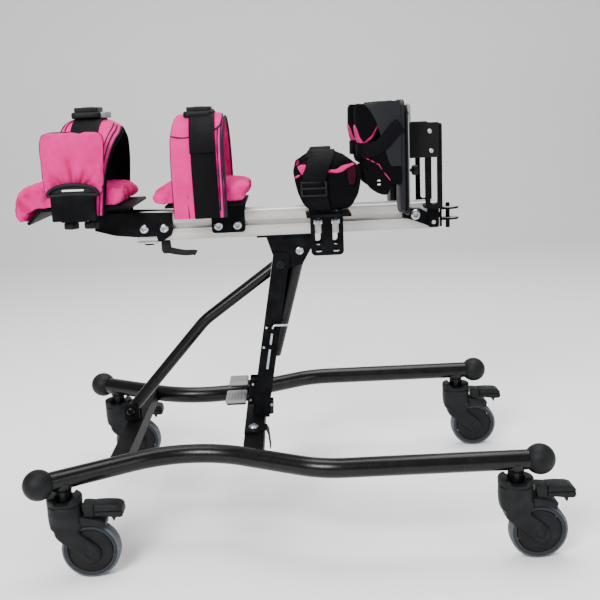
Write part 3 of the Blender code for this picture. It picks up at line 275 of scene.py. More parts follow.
def zinc():
    """Bright zinc plate with a faint blue cast and handling marks."""
    made = Finish("zinc_plate", 0.25, 1.0)
    made.colour(made.noise(150.0, 4.0), (0.30, 0.33, 0.37), (0.60, 0.63, 0.67))
    made.link(made.noise(400.0, 3.0) * 0.3 + 0.14, "Roughness")
    made.bump(made.noise(1500.0, 2.0), 0.00004)
    return made.material


def bare_steel():
    """Brushed steel plate or rod."""
    made = Finish("bare_steel", 0.34, 1.0)
    lines = made.noise(1.0, 4.0, stretch=(300.0, 1400.0, 60.0))
    made.colour(lines, (0.46, 0.45, 0.43), (0.72, 0.70, 0.67))
    made.link(lines * 0.3 + 0.22, "Roughness")
    made.bump(lines, 0.00003)
    return made.material


def weave(made, pitch):
    """A plain weave's height on any face: two crossing sines, drawn from all three axes."""
    x, y, z = made.axes()
    turns = 2 * PI / pitch
    one = ((x + z) * turns).sine() * 0.5 + 0.5
    two = ((y + z) * turns + (x * turns)).sine() * 0.5 + 0.5
    return one * two


def woven_pink():
    """Pink polyester cover cloth: fine weave, soft mottling, a light nap, painted glint on its threads and
    painted shade in its folds.
    """
    made = Finish("cover_cloth_pink", 0.85, Sheen_Weight=0.03, Sheen_Roughness=0.45, Specular_IOR_Level=0.10)
    cloud = made.noise(22.0, 5.0, rough=0.6)
    base = made.colour(cloud.above(0.5, 0.7), (0.56, 0.0025, 0.150), (0.68, 0.0060, 0.205))
    # Painted highlight: light specks of glint on the threads, put into the colour.
    painted_thread_glint = made.noise(1300.0, 2.0).above(0.62, 0.35)
    woven = made.again(painted_thread_glint * 0.30, base, (0.86, 0.030, 0.30))
    # Painted shade: the cloth's colour darkens where its folds were pressed in, read from the mesh's
    # attribute fold.
    made.again(made.attribute("fold"), woven, (0.34, 0.0008, 0.050))
    made.link(made.noise(70.0, 3.0) * 0.14 + 0.76, "Roughness")
    folds = made.noise(26.0, 3.0)
    made.bump(weave(made, 0.0016) * 0.16 + folds, 0.0016)
    return made.material


def piping_black():
    """Black bias binding over a cord."""
    made = Finish("piping_black", 0.75, Specular_IOR_Level=0.12)
    along, _ = made.lengthwise()
    twill = (along * (2 * PI / 0.0022)).sine() * 0.5 + 0.5
    made.colour(made.noise(500.0, 2.0), (0.006, 0.006, 0.012), (0.020, 0.020, 0.034))
    made.bump(twill + made.noise(900.0), 0.00018)
    return made.material


def webbing_black():
    """Black polypropylene webbing: close ribs across it and a bound edge."""
    made = Finish("webbing_black", 0.62, Specular_IOR_Level=0.045)
    along, across = made.lengthwise()
    ribs = (along * (2 * PI / 0.0019)).sine() * 0.5 + 0.5
    rows = (across * (2 * PI / 0.0048)).sine() * 0.5 + 0.5
    made.colour(ribs * 0.6 + made.noise(260.0, 4.0) * 0.4, (0.0008, 0.0008, 0.0011), (0.0045, 0.0045, 0.0055))
    made.link(made.noise(90.0, 3.0) * 0.2 + 0.50, "Roughness")
    made.bump(ribs * 0.7 + rows * 0.5, 0.00030)
    return made.material


def fleece_black():
    """Black brushed loop lining."""
    made = Finish("loop_lining_black", 0.95, Sheen_Weight=0.005, Specular_IOR_Level=0.04)
    fuzz = made.noise(900.0, 5.0, rough=0.75)
    made.colour(fuzz, (0.0008, 0.0008, 0.0012), (0.0045, 0.0045, 0.0058))
    made.bump(fuzz + made.grains(700.0), 0.0007)
    return made.material


def lining_pink(name, low, high):
    """The pink plush that lines the cuffs and sandals."""
    made = Finish(name, 0.9, Sheen_Weight=0.05, Specular_IOR_Level=0.05)
    fuzz = made.noise(700.0, 5.0, rough=0.7)
    made.colour(fuzz.above(0.5, 0.5), low, high)
    made.bump(fuzz + made.noise(90.0, 3.0) * 2.0, 0.0007)
    return made.material


def grey_tread():
    """Grey rubber tread of the foot pedals, with small raised dots."""
    made = Finish("pedal_tread_grey", 0.7)
    x, y, _ = made.axes()
    dots = (x * (2 * PI / 0.006)).sine() * (y * (2 * PI / 0.006)).sine()
    made.colour(made.noise(300.0, 5.0, rough=0.7), (0.19, 0.185, 0.195), (0.30, 0.29, 0.30))
    made.bump(dots.above(0.35, 0.3) + made.noise(1800.0) * 0.4, 0.0004)
    return made.material


def leatherette():
    """Charcoal leatherette of the sandals, pebble-grained."""
    made = Finish("leatherette_charcoal", 0.48, Specular_IOR_Level=0.11)
    pebbles = made.grains(900.0)
    made.colour(pebbles.above(0.35, 0.4), (0.0060, 0.0068, 0.0085), (0.0105, 0.0116, 0.0136))
    made.link(made.noise(180.0, 3.0) * 0.2 + 0.36, "Roughness")
    made.bump(pebbles * 0.6 + made.noise(60.0, 3.0), 0.00025)
    return made.material


def cream_tape():
    """Undyed elastic tape."""
    made = Finish("elastic_cream", 0.8)
    x, _, z = made.axes()
    ribs = (x * (2 * PI / 0.0024)).sine() * 0.5 + 0.5
    made.colour(made.noise(200.0, 3.0), (0.72, 0.66, 0.50), (0.90, 0.86, 0.74))
    made.bump(ribs + (z * (2 * PI / 0.0016)).sine() * 0.3, 0.0002)
    return made.material


def grey_buckle():
    """Light grey acetal of the buckle's pressed-in half."""
    made = Finish("acetal_grey", 0.4)
    made.colour(made.noise(120.0, 3.0), (0.10, 0.11, 0.115), (0.17, 0.18, 0.19))
    made.bump(made.noise(1400.0, 2.0), 0.0001)
    return made.material


POWDER = powder_coat()
MATT = powder_matt()
PLATE = bared_edge()
MOULDED = moulded_black()
TYRE = tyre_grey()
RUBBER = core_rubber()
ALUMINIUM = anodised()
ZINC = zinc()
STEEL = bare_steel()
PINK = woven_pink()
PIPING = piping_black()
WEBBING = webbing_black()
FLEECE = fleece_black()
PLUSH = lining_pink("plush_pink", (0.33, 0.004, 0.085), (0.62, 0.014, 0.180))
# Painted shade: a dark copy of the pink plush, for the lining seen deep in the cuff's pocket.
SHADED_PLUSH = lining_pink("plush_pink_painted_shade", (0.010, 0.0006, 0.0022), (0.036, 0.0014, 0.0085))
TREAD = grey_tread()
LEATHER = leatherette()
CREAM = cream_tape()
ACETAL = grey_buckle()


# Surfaces from arrays of points

class Shell:
    """Gathers grids of points into one mesh. A grid is an array of rows by columns by 3."""

    def __init__(self):
        self.points, self.maps, self.faces, self.count = [], [], [], 0

    def grid(self, rows, loop=False, caps=True):
        """Join neighbouring rows with quads, each row closed into a ring. loop joins the last
        row to the first. caps fills the first and last rings with one face each."""
        rows = np.asarray(rows, float)
        n, m = rows.shape[:2]
        index = np.arange(n * m).reshape(n, m) + self.count
        along = np.concatenate([index, index[:1]]) if loop else index
        around = np.concatenate([along, along[:, :1]], axis=1)
        quads = np.stack([around[:-1, :-1], around[1:, :-1], around[1:, 1:], around[:-1, 1:]], axis=-1)
        self.faces += quads.reshape(-1, 4).tolist()
        if caps and not loop:
            self.faces += [index[0][::-1].tolist(), index[-1].tolist()]
        runs = np.linalg.norm(np.diff(rows, axis=0), axis=2).mean(axis=1)
        widths = np.linalg.norm(np.diff(rows, axis=1), axis=2).mean(axis=0)
        run = np.concatenate([[0.0], np.cumsum(runs)])
        width = np.concatenate([[0.0], np.cumsum(widths)])
        both = np.stack(np.broadcast_arrays(run[:, None], width[None, :]), axis=-1)
        self.points.append(rows.reshape(-1, 3))
        self.maps.append(both.reshape(-1, 2))
        self.count += n * m
        return self

    def mesh(self, name):
        """The gathered points and faces as a mesh."""
        mesh = bpy.data.meshes.new(name)
        mesh.from_pydata(np.concatenate(self.points).tolist(), [], self.faces)
        return mesh

    def form(self, name):
        """The gathered points as a bare object, to be cut or blown up."""
        return placed(self.mesh(name), name, False)

    def done(self, name, finish, body, slot, replaces=(), angle=35.0):
        """The finished piece, its map Run giving the distance along and across it in metres."""
        mesh = self.mesh(name)
        corner = np.zeros(len(mesh.loops), np.int32)
        mesh.loops.foreach_get("vertex_index", corner)
        layer = mesh.uv_layers.new(name="Run")
        layer.data.foreach_set("uv", np.concatenate(self.maps)[corner].astype(np.float32).ravel())
        return dress(placed(mesh, name, True), finish, body, replaces, angle)


def placed(mesh, name, shed):
    """An object for the mesh, its doubles merged and its faces turned outwards. shed drops
    faces and edges without a size as well."""
    shape = bmesh.new()
    shape.from_mesh(mesh)
    bmesh.ops.remove_doubles(shape, verts=shape.verts, dist=MERGE)
    if shed:
        bmesh.ops.dissolve_degenerate(shape, edges=shape.edges, dist=MERGE / 10)
    bmesh.ops.recalc_face_normals(shape, faces=shape.faces)
    shape.to_mesh(mesh)
    shape.free()
    return in_scene(name, mesh)


def in_scene(name, data):
    """An object for the data, linked into the scene."""
    made = bpy.data.objects.new(name, data)
    bpy.context.scene.collection.objects.link(made)
    return made


def dress(made, finish, body, replaces=(), angle=35.0):
    """Give a finished mesh its material, its body and what it stands for."""
    made.data.materials.clear()
    made.data.materials.append(finish)
    made.data.shade_smooth()
    made.data.set_sharp_from_angle(angle=math.radians(angle))
    if replaces:
        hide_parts(*replaces)
    if body:
        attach(made, body)
    return made


def vec(*numbers):
    return np.array(numbers, float)


def unit(v):
    return v / np.linalg.norm(v, axis=-1, keepdims=True)


def sweep(path, section, up):
    """Carry a section along a path: each point is the path plus the section's first number
    along the side, tangent x up, and its second along the normal, side x tangent."""
    path, section = np.asarray(path, float), np.asarray(section, float)
    tangent = unit(np.gradient(path, axis=0))
    side = unit(np.cross(tangent, up))
    normal = np.cross(side, tangent)
    if section.ndim == 2:
        section = np.broadcast_to(section, (len(path), *section.shape))
    return path[:, None] + section[..., :1] * side[:, None] + section[..., 1:] * normal[:, None]


def ring(radius, sides=32):
    """A circle of points."""
    turn = full_turn(sides)
    return np.stack([radius * np.cos(turn), radius * np.sin(turn)], axis=-1)


def full_turn(count):
    """Angles once round, without the last one."""
    return np.linspace(0, 2 * PI, count, endpoint=False)


def squared(wave, power):
    """A wave from -1 to 1 with its sign kept and its size raised to a power: a circle's cosine
    and sine then draw a rounder or a squarer outline."""
    return np.sign(wave) * np.abs(wave) ** power


def superellipse(half_x, half_y, squareness, count=64):
    """A closed outline between an ellipse, at 1, and a rectangle, near 0."""
    turn = full_turn(count)
    x, y = half_x * squared(np.cos(turn), squareness), half_y * squared(np.sin(turn), squareness)
    return np.stack([x, y], axis=-1)


def round_rect(width, height, radius, steps=4):
    """A rectangle's outline with round corners, centred on zero."""
    turn = np.linspace(0, PI / 2, steps)
    arc = np.stack([np.cos(turn), np.sin(turn)], axis=-1) * radius
    corners = []
    for k, (sx, sy) in enumerate([(1, 1), (-1, 1), (-1, -1), (1, -1)]):
        c, s = math.cos(k * PI / 2), math.sin(k * PI / 2)
        turned_arc = arc @ np.array([[c, s], [-s, c]])
        corners.append(turned_arc + [sx * (width / 2 - radius), sy * (height / 2 - radius)])
    return np.concatenate(corners)


def smooth_path(points, steps=8):
    """A Catmull-Rom curve through the points, as one array."""
    p = np.asarray(points, float)
    p = np.concatenate([[2 * p[0] - p[1]], p, [2 * p[-1] - p[-2]]])
    t = np.linspace(0, 1, steps, endpoint=False)[:, None, None]
    a, b, c, d = p[:-3], p[1:-2], p[2:-1], p[3:]
    curve = 0.5 * (2 * b + (c - a) * t + (2 * a - 5 * b + 4 * c - d) * t**2 + (3 * b - a - 3 * c + d) * t**3)
    curve = curve.transpose(1, 0, 2).reshape(-1, p.shape[1])
    return np.concatenate([curve, p[-2:-1]])


def filleted(points, radii, steps=10):
    """A path through the points whose inner corners are arcs of the given radii."""
    p = np.asarray(points, float)
    path = [p[:1]]
    for before, corner, after, radius in zip(p, p[1:], p[2:], radii):
        back, ahead = unit(before - corner), unit(after - corner)
        half = math.acos(float(np.clip(back @ ahead, -1, 1))) / 2
        reach = radius / math.tan(half)
        centre = corner + unit(back + ahead) * radius / math.sin(half)
        sweep_angle = PI - 2 * half
        t = np.linspace(0, 1, steps)[:, None]
        start, end = corner + back * reach - centre, corner + ahead * reach - centre
        arc = start * np.sin((1 - t) * sweep_angle) + end * np.sin(t * sweep_angle)
        path.append(centre + arc / math.sin(sweep_angle))
    path.append(p[-1:])
    return np.concatenate(path)


def spokes(axis, sides):
    """The directions that stand round an axis, one for each side."""
    helper = vec(0, 0, 1) if abs(axis[2]) < 0.9 else vec(1, 0, 0)
    side = unit(np.cross(axis, helper))
    other = np.cross(axis, side)
    turn = full_turn(sides)
    return np.cos(turn)[:, None] * side + np.sin(turn)[:, None] * other


def turned(profile, centre, axis, sides=48):
    """Spin a profile of (radius, distance along the axis) round the axis through centre."""
    profile = np.asarray(profile, float)
    axis = unit(vec(*axis))
    return vec(*centre) + profile[:, :1, None] * spokes(axis, sides)[None] + profile[:, 1:, None] * axis


def block(centre, half, radius, steps=4):
    """A box with round edges: a sphere of the edge radius, pulled apart to the box's size."""
    lat = np.concatenate([np.linspace(-PI / 2, -1e-4, steps), np.linspace(1e-4, PI / 2, steps)])
    quarter = np.linspace(1e-4, PI / 2 - 1e-4, steps)
    lon = np.concatenate([quarter + k * PI / 2 for k in range(4)])
    lat, lon = np.meshgrid(lat, lon, indexing="ij")
    ball = np.stack([np.cos(lat) * np.cos(lon), np.cos(lat) * np.sin(lon), np.sin(lat)], axis=-1)
    return ball * radius + np.sign(ball) * (vec(*half) - radius) + vec(*centre)


def slab(outline, low, high, edge, lift):
    """A flat plate from an outline, with its rim rounded over by the edge width.
    lift turns (u, v, w) arrays into frame coordinates."""
    outline = np.asarray(outline, float)
    following = np.roll(outline, -1, axis=0)
    ahead = unit(following - outline)
    back = unit(outline - np.roll(outline, 1, axis=0))
    inward = unit(ahead + back)[:, ::-1] * [-1, 1]
    area = np.sum(outline[:, 0] * following[:, 1] - outline[:, 1] * following[:, 0])
    inward = inward if area > 0 else -inward
    rows = []
    for turn in np.radians([0, 30, 60, 90]):
        rows.append((outline + inward * edge * (1 - math.sin(turn)), low + edge * (1 - math.cos(turn))))
    for turn in np.radians([90, 60, 30, 0]):
        rows.append((outline + inward * edge * (1 - math.sin(turn)), high - edge * (1 - math.cos(turn))))
    return np.stack([lift(flat[:, 0], flat[:, 1], np.full(len(flat), w)) for flat, w in rows])


def on_xz(u, v, w):
    return np.stack([u, w, v], axis=-1)


def on_yz(u, v, w):
    return np.stack([w, u, v], axis=-1)


def on_xy(u, v, w):
    return np.stack([u, v, w], axis=-1)


def ripple(points, height, wave, seed):
    """A soft random height at each point: a sum of sine waves in random directions."""
    waves = 7
    rng = np.random.default_rng(seed)
    total = np.zeros(points.shape[:-1])
    for _ in range(waves):
        direction = unit(rng.normal(size=3)) * 2 * PI / (wave * rng.uniform(0.6, 1.6))
        total = total + np.sin(points @ direction + rng.uniform(0, 2 * PI))
    return total * height / math.sqrt(waves)


def from_node(node, finish, bevel=0.0008, corners=None):
    """A CAD node's own shape with its triangles merged and its edges rounded. corners gives a
    height and a radius: the plate's corners above that height are rounded in side view."""
    source = NODES[node]
    made = in_scene(node + "_dressed", source.data.copy())
    shape = bmesh.new()
    shape.from_mesh(made.data)
    bmesh.ops.remove_doubles(shape, verts=shape.verts, dist=MERGE)
    flat = {"angle_limit": math.radians(1.0), "use_dissolve_boundaries": False}
    bmesh.ops.dissolve_limit(shape, **flat, verts=shape.verts, edges=shape.edges)
    if corners:
        level, radius = corners
        picked = [edge for edge in shape.edges if min(v.co.z for v in edge.verts) > level
                  and abs(edge.verts[0].co.y - edge.verts[1].co.y) > 0.9 * edge.calc_length()]
        bmesh.ops.bevel(shape, geom=picked, offset=radius, segments=5, affect="EDGES", profile=0.5)
    shape.to_mesh(made.data)
    shape.free()
    step = made.modifiers.new("worn_edges", "BEVEL")
    step.width = bevel
    step.segments = 2
    step.limit_method = "ANGLE"
    step.angle_limit = math.radians(40)
    step.harden_normals = False
    return dress(made, finish, source["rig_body"], (node,))


def hex_bolt(shell, centre, normal, radius, height=None):
    """A button-head cap screw: a low dome whose six-sided socket is sunk into its top."""
    sides = 36
    height = height or radius * 0.55
    hexagon = 0.46 * radius / np.cos((full_turn(sides) + PI / 6) % (PI / 3) - PI / 6)
    dome = [(1.0, 0.0), (1.0, 0.18), (0.97, 0.42), (0.86, 0.74), (0.70, 0.95), (0.62, 1.0)]
    socket = [(1.08, 1.0), (1.0, 0.96), (0.98, 0.30), (0.1, 0.26)]
    radii = [np.full(sides, radius * share) for share, _ in dome] + [hexagon * share for share, _ in socket]
    levels = [rise * height for _, rise in dome + socket]
    axis = unit(vec(*normal))
    spoke = spokes(axis, sides)
    rows = [vec(*centre) + r[:, None] * spoke + level * axis for r, level in zip(radii, levels)]
    shell.grid(np.stack(rows))


def bolts(name, body, places, radius, finish=ZINC, slot="strut_top_pin"):
    """A set of screws on one body, each at (centre, direction it faces)."""
    shell = Shell()
    for centre, normal in places:
        hex_bolt(shell, centre, normal, radius)
    return shell.done(name, finish, body, slot)


def both_sides(x, y, z):
    """A screw's place on each side of the middle, facing outwards."""
    return [((x, side * y, z), (0, side, 0)) for side in SIDES.values()]


def applied(made):
    """Put what the modifiers make into the object's own mesh."""
    bpy.context.view_layer.update()
    baked = bpy.data.meshes.new_from_object(made.evaluated_get(bpy.context.evaluated_depsgraph_get()))
    made.modifiers.clear()
    made.data = baked
    return made


# Chassis

RAIL_Z = 0.177
RAIL_RADIUS = 0.017
# The rails' corners from above, as X and half width, and the radii of the two bends
RAIL_PLAN = ((-0.421, 0.284), (-0.183, 0.142), (0.053, 0.271), (0.4215, 0.271))
RAIL_BENDS = (0.200, 0.150)
# A ball end, with a flat where it meets the rail
BALL_RADIUS = 0.02625
BALL_FLAT = 0.0197
CASTOR_FROM_END = 0.041
BOSS_RADIUS = 0.0135
BOSS_FOOT = 0.1392
WHEEL_RADIUS = 0.050
CASTOR_TRAIL = 0.039
# The board's pivot, the strut's two ends, and the mast's lean
TILT = vec(-0.003, 0, 0.487)
STRUT_TOP = vec(0.034, 0, 0.5115)
STRUT_FOOT = vec(-0.051, 0, 0.212)
MAST_FOOT = vec(-0.0549, 0, 0.1959)
MAST_UP = unit(TILT - MAST_FOOT)
MAST_ACROSS = vec(MAST_UP[2], 0, -MAST_UP[0])
MAST_HALF_DEPTH = 0.0162
BRACE_LINE = ((-0.3103, 0, 0.2061), (-0.1536, 0, 0.3814), (-0.0200, 0, 0.4765))
BRACE_BEND = 0.120
BRACE_RADIUS = 0.011


def rail_plan(side):
    """The corners of a rail's centre line."""
    return np.array([(x, side * y, RAIL_Z) for x, y in RAIL_PLAN])


def stems(side):
    """Where a rail's two castor stems stand: a fixed way in from each of its ends."""
    plan = rail_plan(side)
    head = plan[0] + unit(plan[1] - plan[0]) * CASTOR_FROM_END
    foot = plan[-1] + unit(plan[-2] - plan[-1]) * CASTOR_FROM_END
    return {"head": head, "foot": foot}


def boss_profile():
    """A castor's boss under the rail, flared at its weld: radius and height."""
    top = RAIL_Z - 0.004
    return [(0, top), (BOSS_RADIUS + 0.004, top), (BOSS_RADIUS + 0.0032, RAIL_Z - 0.0135),
            (BOSS_RADIUS + 0.0004, RAIL_Z - 0.0185), (BOSS_RADIUS, RAIL_Z - 0.020),
            (BOSS_RADIUS, BOSS_FOOT + 0.001), (BOSS_RADIUS - 0.001, BOSS_FOOT), (0, BOSS_FOOT)]


def side_rail(label, plan):
    """A bent rail with its two castor bosses."""
    rail = Shell().grid(sweep(filleted(plan, RAIL_BENDS, 22), ring(RAIL_RADIUS, 48), (0, 0, 1)))
    for x, y, _ in stems(SIDES[label]).values():
        rail.grid(turned(boss_profile(), (x, y, 0), (0, 0, 1), 40), caps=False)
    rail.done("side_rail_" + label, POWDER, "chassis", "rail_" + label, ("rail_" + label,))


def ball_end(label, end, tip, bend):
    """The ball on a rail's tip, turned away from the rail's next bend."""
    outward = unit(tip - bend)
    turn = np.linspace(0, PI - math.acos(BALL_FLAT / BALL_RADIUS), 26)
    profile = [*zip(BALL_RADIUS * np.sin(turn), BALL_RADIUS * np.cos(turn)), (0.0, -BALL_FLAT)]
    name = "end_cap_%s_%s" % (end, label)
    ball = Shell().grid(turned(profile, tip + outward * (BALL_FLAT + GAP), outward, 48), caps=False)
    ball.done("ball_%s_%s" % (end, label), MOULDED, "chassis", name, (name,))


def brace():
    """The bent bar from the clevis up to the mast, its top end cut to the mast's face."""
    rows = sweep(filleted(BRACE_LINE, (BRACE_BEND,), 16), ring(BRACE_RADIUS, 40), (0, 1, 0))
    along = unit(rows[-1].mean(axis=0) - rows[-2].mean(axis=0))
    face = MAST_FOOT - MAST_ACROSS * MAST_HALF_DEPTH
    rows[-1] += along * (((face - rows[-1]) @ MAST_ACROSS) / (along @ MAST_ACROSS))[:, None]
    Shell().grid(rows).done("brace_bar", POWDER, "chassis", "brace_tube", ("brace_tube",))


def chassis():
    """Side rails, ball ends, cross tubes, brace, clevis and their screws."""
    for label, side in SIDES.items():
        plan = rail_plan(side)
        plan[0] += unit(plan[1] - plan[0]) * (BALL_FLAT + GAP)
        plan[-1] += unit(plan[-2] - plan[-1]) * (BALL_FLAT + GAP)
        side_rail(label, plan)
        ball_end(label, "head", plan[0], plan[1])
        ball_end(label, "foot", plan[-1], plan[-2])
    for node in ("front_cross_tube", "centre_cross_tube"):
        from_node(node, MATT, 0.0022)
    from_node("brace_clevis", MATT, 0.0007)
    brace()
    bolts("brace_screw", "chassis", both_sides(-0.3073, 0.0168, 0.2096), 0.0085, POWDER, "brace_clevis")
    plate_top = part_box("mast_hook")[1].z - 0.0022
    places = [((-0.0665, side * 0.101, plate_top), (0, 0, 1)) for side in SIDES.values()]
    bolts("base_screws", "chassis", places, 0.0095)


# A castor's level sections: height, its back and front from the stem, half width, squareness
HOUSING_LEVELS = (
    (0.1345, -0.0280, 0.0280, 0.0280, 1.00), (0.1328, -0.0296, 0.0296, 0.0296, 1.00),
    (0.1180, -0.0297, 0.0300, 0.0288, 0.95), (0.1100, -0.0292, 0.0310, 0.0258, 0.84),
    (0.1040, -0.0285, 0.0325, 0.0234, 0.70), (0.0980, -0.0272, 0.0335, 0.0214, 0.56),
    (0.0935, -0.0262, 0.0290, 0.0204, 0.48), (0.0895, -0.0218, 0.0255, 0.0199, 0.44),
    (0.0850, -0.0204, 0.0245, 0.0196, 0.42), (0.0800, -0.0195, 0.0300, 0.0195, 0.40),
    (0.0735, -0.0155, 0.0378, 0.0195, 0.38), (0.0680, -0.0095, 0.0440, 0.0195, 0.38),
    (0.0610, -0.0010, 0.0520, 0.0195, 0.38), (0.0545, 0.0075, 0.0567, 0.0195, 0.38),
    (0.0470, 0.0165, 0.0585, 0.0195, 0.38), (0.0400, 0.0245, 0.0562, 0.0195, 0.38),
    (0.0345, 0.0310, 0.0520, 0.0193, 0.38), (0.0312, 0.0370, 0.0450, 0.0185, 0.38),
)
# The swivel head, and the notch let into its top: its floor, half width and eased ends
COLLAR_RADIUS = 0.030
COLLAR_SPAN = (0.1352, 0.1475)
NOTCH_FLOOR = 0.1405
NOTCH_HALF = 0.0105
NOTCH_EASE = 0.0050
# The well that the wheel turns in, the lip over the wheel, and a cheek's two faces
WELL_RADIUS = 0.0528
LIP_RADIUS = 0.0482
CHEEK = (0.0146, 0.0188)


def cut_away(made, cutter):
    """Take the cutter's form out of the piece, and drop the cutter."""
    step = made.modifiers.new("cut", "BOOLEAN")
    step.operation, step.solver, step.object = "DIFFERENCE", "EXACT", cutter
    applied(made)
    bpy.data.objects.remove(cutter)
    return made


def castor_housing(name, x, y, axle):
    """The housing that flattens into two cheeks, with the wheel's well cut out of it."""
    table = np.array(HOUSING_LEVELS)
    heights = np.linspace(table[0, 0], table[-1, 0], 46)
    back, front, half, square = (np.interp(-heights, -table[:, 0], table[:, k]) for k in (1, 2, 3, 4))
    rows = []
    for z, low, high, wide, corner in zip(heights, back, front, half, square):
        flat = superellipse((high - low) / 2, wide, corner)
        rows.append(np.concatenate([flat + [x + (low + high) / 2, y], np.full((len(flat), 1), z)], axis=1))
    inner = CHEEK[0]
    drum = [(0, -inner), (WELL_RADIUS, -inner), (WELL_RADIUS, inner), (0, inner)]
    well = Shell().grid(turned(drum, axle, (0, 1, 0), 72), caps=False).form(name + "_well")
    return cut_away(Shell().grid(np.stack(rows)).form(name + "_housing"), well)


def round_wheel(radius, turn):
    """An arc round the axle in side view, measured from the stem."""
    x = CASTOR_TRAIL + radius * np.cos(turn)
    return np.stack([x, WHEEL_RADIUS + radius * np.sin(turn)], axis=-1)


def castor_fork(name, x, y, body, slot):
    """The housing, the fender above the wheel, and the round caps on the axle's ends."""
    axle = vec(x + CASTOR_TRAIL, y, WHEEL_RADIUS)
    dress(castor_housing(name, x, y, axle), MOULDED, body, (slot,), 32.0)

    turn = np.radians(np.linspace(56, 102, 12))
    over = np.array([(0.0260, 0.1135), (0.0450, 0.1105), (0.0600, 0.1070), (0.0690, 0.1030)])
    roof = np.concatenate([round_wheel(WELL_RADIUS, turn), over]) + [x, 0]
    cheek = np.concatenate([round_wheel(LIP_RADIUS, turn), over]) + [x, 0]
    inner, outer = CHEEK
    fender = Shell().grid(slab(roof, y - inner - 0.0004, y + inner + 0.0004, 0.0002, on_xz))
    for side in SIDES.values():
        fender.grid(slab(cheek, *sorted((y + side * inner, y + side * outer)), 0.0012, on_xz))
    cap = [(0, 0.0201), (0.0068, 0.0201), (0.0072, 0.0197), (0.0080, 0.0197),
           (0.0084, 0.0203), (0.0118, 0.0203), (0.0130, 0.0192), (0, 0.0188)]
    for side in SIDES.values():
        fender.grid(turned(cap, axle, (0, side, 0), 48), caps=False)
    fender.done(name + "_fender", MOULDED, body, slot)


def castor_collar(name, x, y, body, slot):
    """The swivel head: a ring round the stem's socket, let down where it faces sideways."""
    low, high = COLLAR_SPAN
    socket = [(0.0, 0.1372), (0.0150, 0.1372), (0.0154, 0.1380)]
    top = [(0.0160, high - 0.0006), (0.0168, high), (0.0276, high), (0.0292, high - 0.0006)]
    wall = [(COLLAR_RADIUS, high - 0.0022), (COLLAR_RADIUS, low + 0.0008), (0.0290, low), (0.0, low)]
    rows = turned(socket + top + wall, (x, y, 0), (0, 0, 1), 120)
    let_down = 1 - np.clip((np.abs(rows[..., 0] - x) - NOTCH_HALF) / NOTCH_EASE, 0, 1)
    let_down = let_down * let_down * (3 - 2 * let_down)
    above = np.maximum(rows[..., 2] - NOTCH_FLOOR, 0)
    rows[..., 2] -= above * let_down * 0.97
    Shell().grid(rows, caps=False).done(name + "_swivel_head", MOULDED, body, slot, (), 30.0)


def castor_wheel(name, x, y, body, slot):
    """A soft grey tread on a dark core, round a dished hub, each told by radius and half width."""
    axle = (x + CASTOR_TRAIL, y, WHEEL_RADIUS)
    turn = np.linspace(0, PI / 2, 8)
    crown = [*zip(0.0458 + 0.0042 * np.sin(turn), 0.0074 + 0.0042 * np.cos(turn))]
    tread = [(0.0455, 0.0110), (0.0456, 0.0115), *crown]
    core = [(0.0386, 0.0092), (0.0392, 0.0118), (0.0404, 0.0124),
            (0.0440, 0.0124), (0.0452, 0.0116), (0.0455, 0.0110)]
    hub = [(0.0046, 0.0094), (0.0096, 0.0096), (0.0110, 0.0110), (0.0200, 0.0118), (0.0300, 0.0113),
           (0.0346, 0.0101), (0.0352, 0.0105), (0.0372, 0.0105), (0.0380, 0.0090)]
    parts = (("tread", tread, TYRE, (slot,)), ("core", core, RUBBER, ()), ("hub", hub, MOULDED, ()))
    for part, right, finish, replaced in parts:
        section = right + [(radius, -half) for radius, half in reversed(right)]
        shell = Shell().grid(turned(section, axle, (0, 1, 0), 72), loop=True)
        shell.done(name + "_" + part, finish, body, slot, replaced)


def castor_pedal(name, x, y, body, slot):
    """The brake pedal: a hinge block at the collar, and a pad in two layers with a hook below.
    The outlines are side views, measured from the stem."""
    upper = [(0.0516, 0.1222), (0.0516, 0.1332), (0.0700, 0.1335), (0.0880, 0.1322),
             (0.0955, 0.1296), (0.0990, 0.1252), (0.0990, 0.1222)]
    lower = [(0.0516, 0.1214), (0.0988, 0.1214), (0.1000, 0.1175), (0.0985, 0.1118),
             (0.0940, 0.1104), (0.0862, 0.1106), (0.0858, 0.1062), (0.0838, 0.1034),
             (0.0824, 0.1064), (0.0800, 0.1112), (0.0660, 0.1132), (0.0516, 0.1138)]
    hinge = [(0.0348, 0.1130), (0.0322, 0.1250), (0.0314, 0.1340),
             (0.0380, 0.1346), (0.0508, 0.1330), (0.0508, 0.1120)]
    neck = round_rect(0.060, 0.008, 0.002, 3) + [x + 0.068, 0.1190]
    pedal = Shell()
    for outline, half, edge in ((upper, 0.0165, 0.0024), (lower, 0.0158, 0.0018), (hinge, 0.0148, 0.0016)):
        pedal.grid(slab(np.array(outline) + [x, 0], y - half, y + half, edge, on_xz))
    pedal.grid(slab(neck, y - 0.0120, y + 0.0120, 0.0008, on_xz))
    pedal.done(name + "_brake", MOULDED, body, slot, (slot,), 32.0)


def castor(label, end):
    """One castor's swivel head, fork, wheel and brake pedal."""
    x, y, _ = stems(SIDES[label])[end]
    name = "castor_%s_%s" % (end, label)
    castor_collar(name, x, y, name + "_swivel", name + "_fork")
    castor_fork(name, x, y, name + "_swivel", name + "_fork")
    castor_wheel(name, x, y, name + "_roller", name + "_wheel")
    castor_pedal(name, x, y, name + "_lock", name + "_brake_pedal")


chassis()
for side_label in SIDES:
    for rail_end in ("head", "foot"):
        castor(side_label, rail_end)


# Board rail, pivot and tilt unit

# The board rail's half width and the height of the T slot in each side
RAIL_HALF = 0.025
SLOT_Z = 0.5685


def mast_point(across, y, up):
    """A point told in the leaning mast's own frame."""
    return MAST_FOOT + MAST_ACROSS * across + vec(0, y, 0) + MAST_UP * up


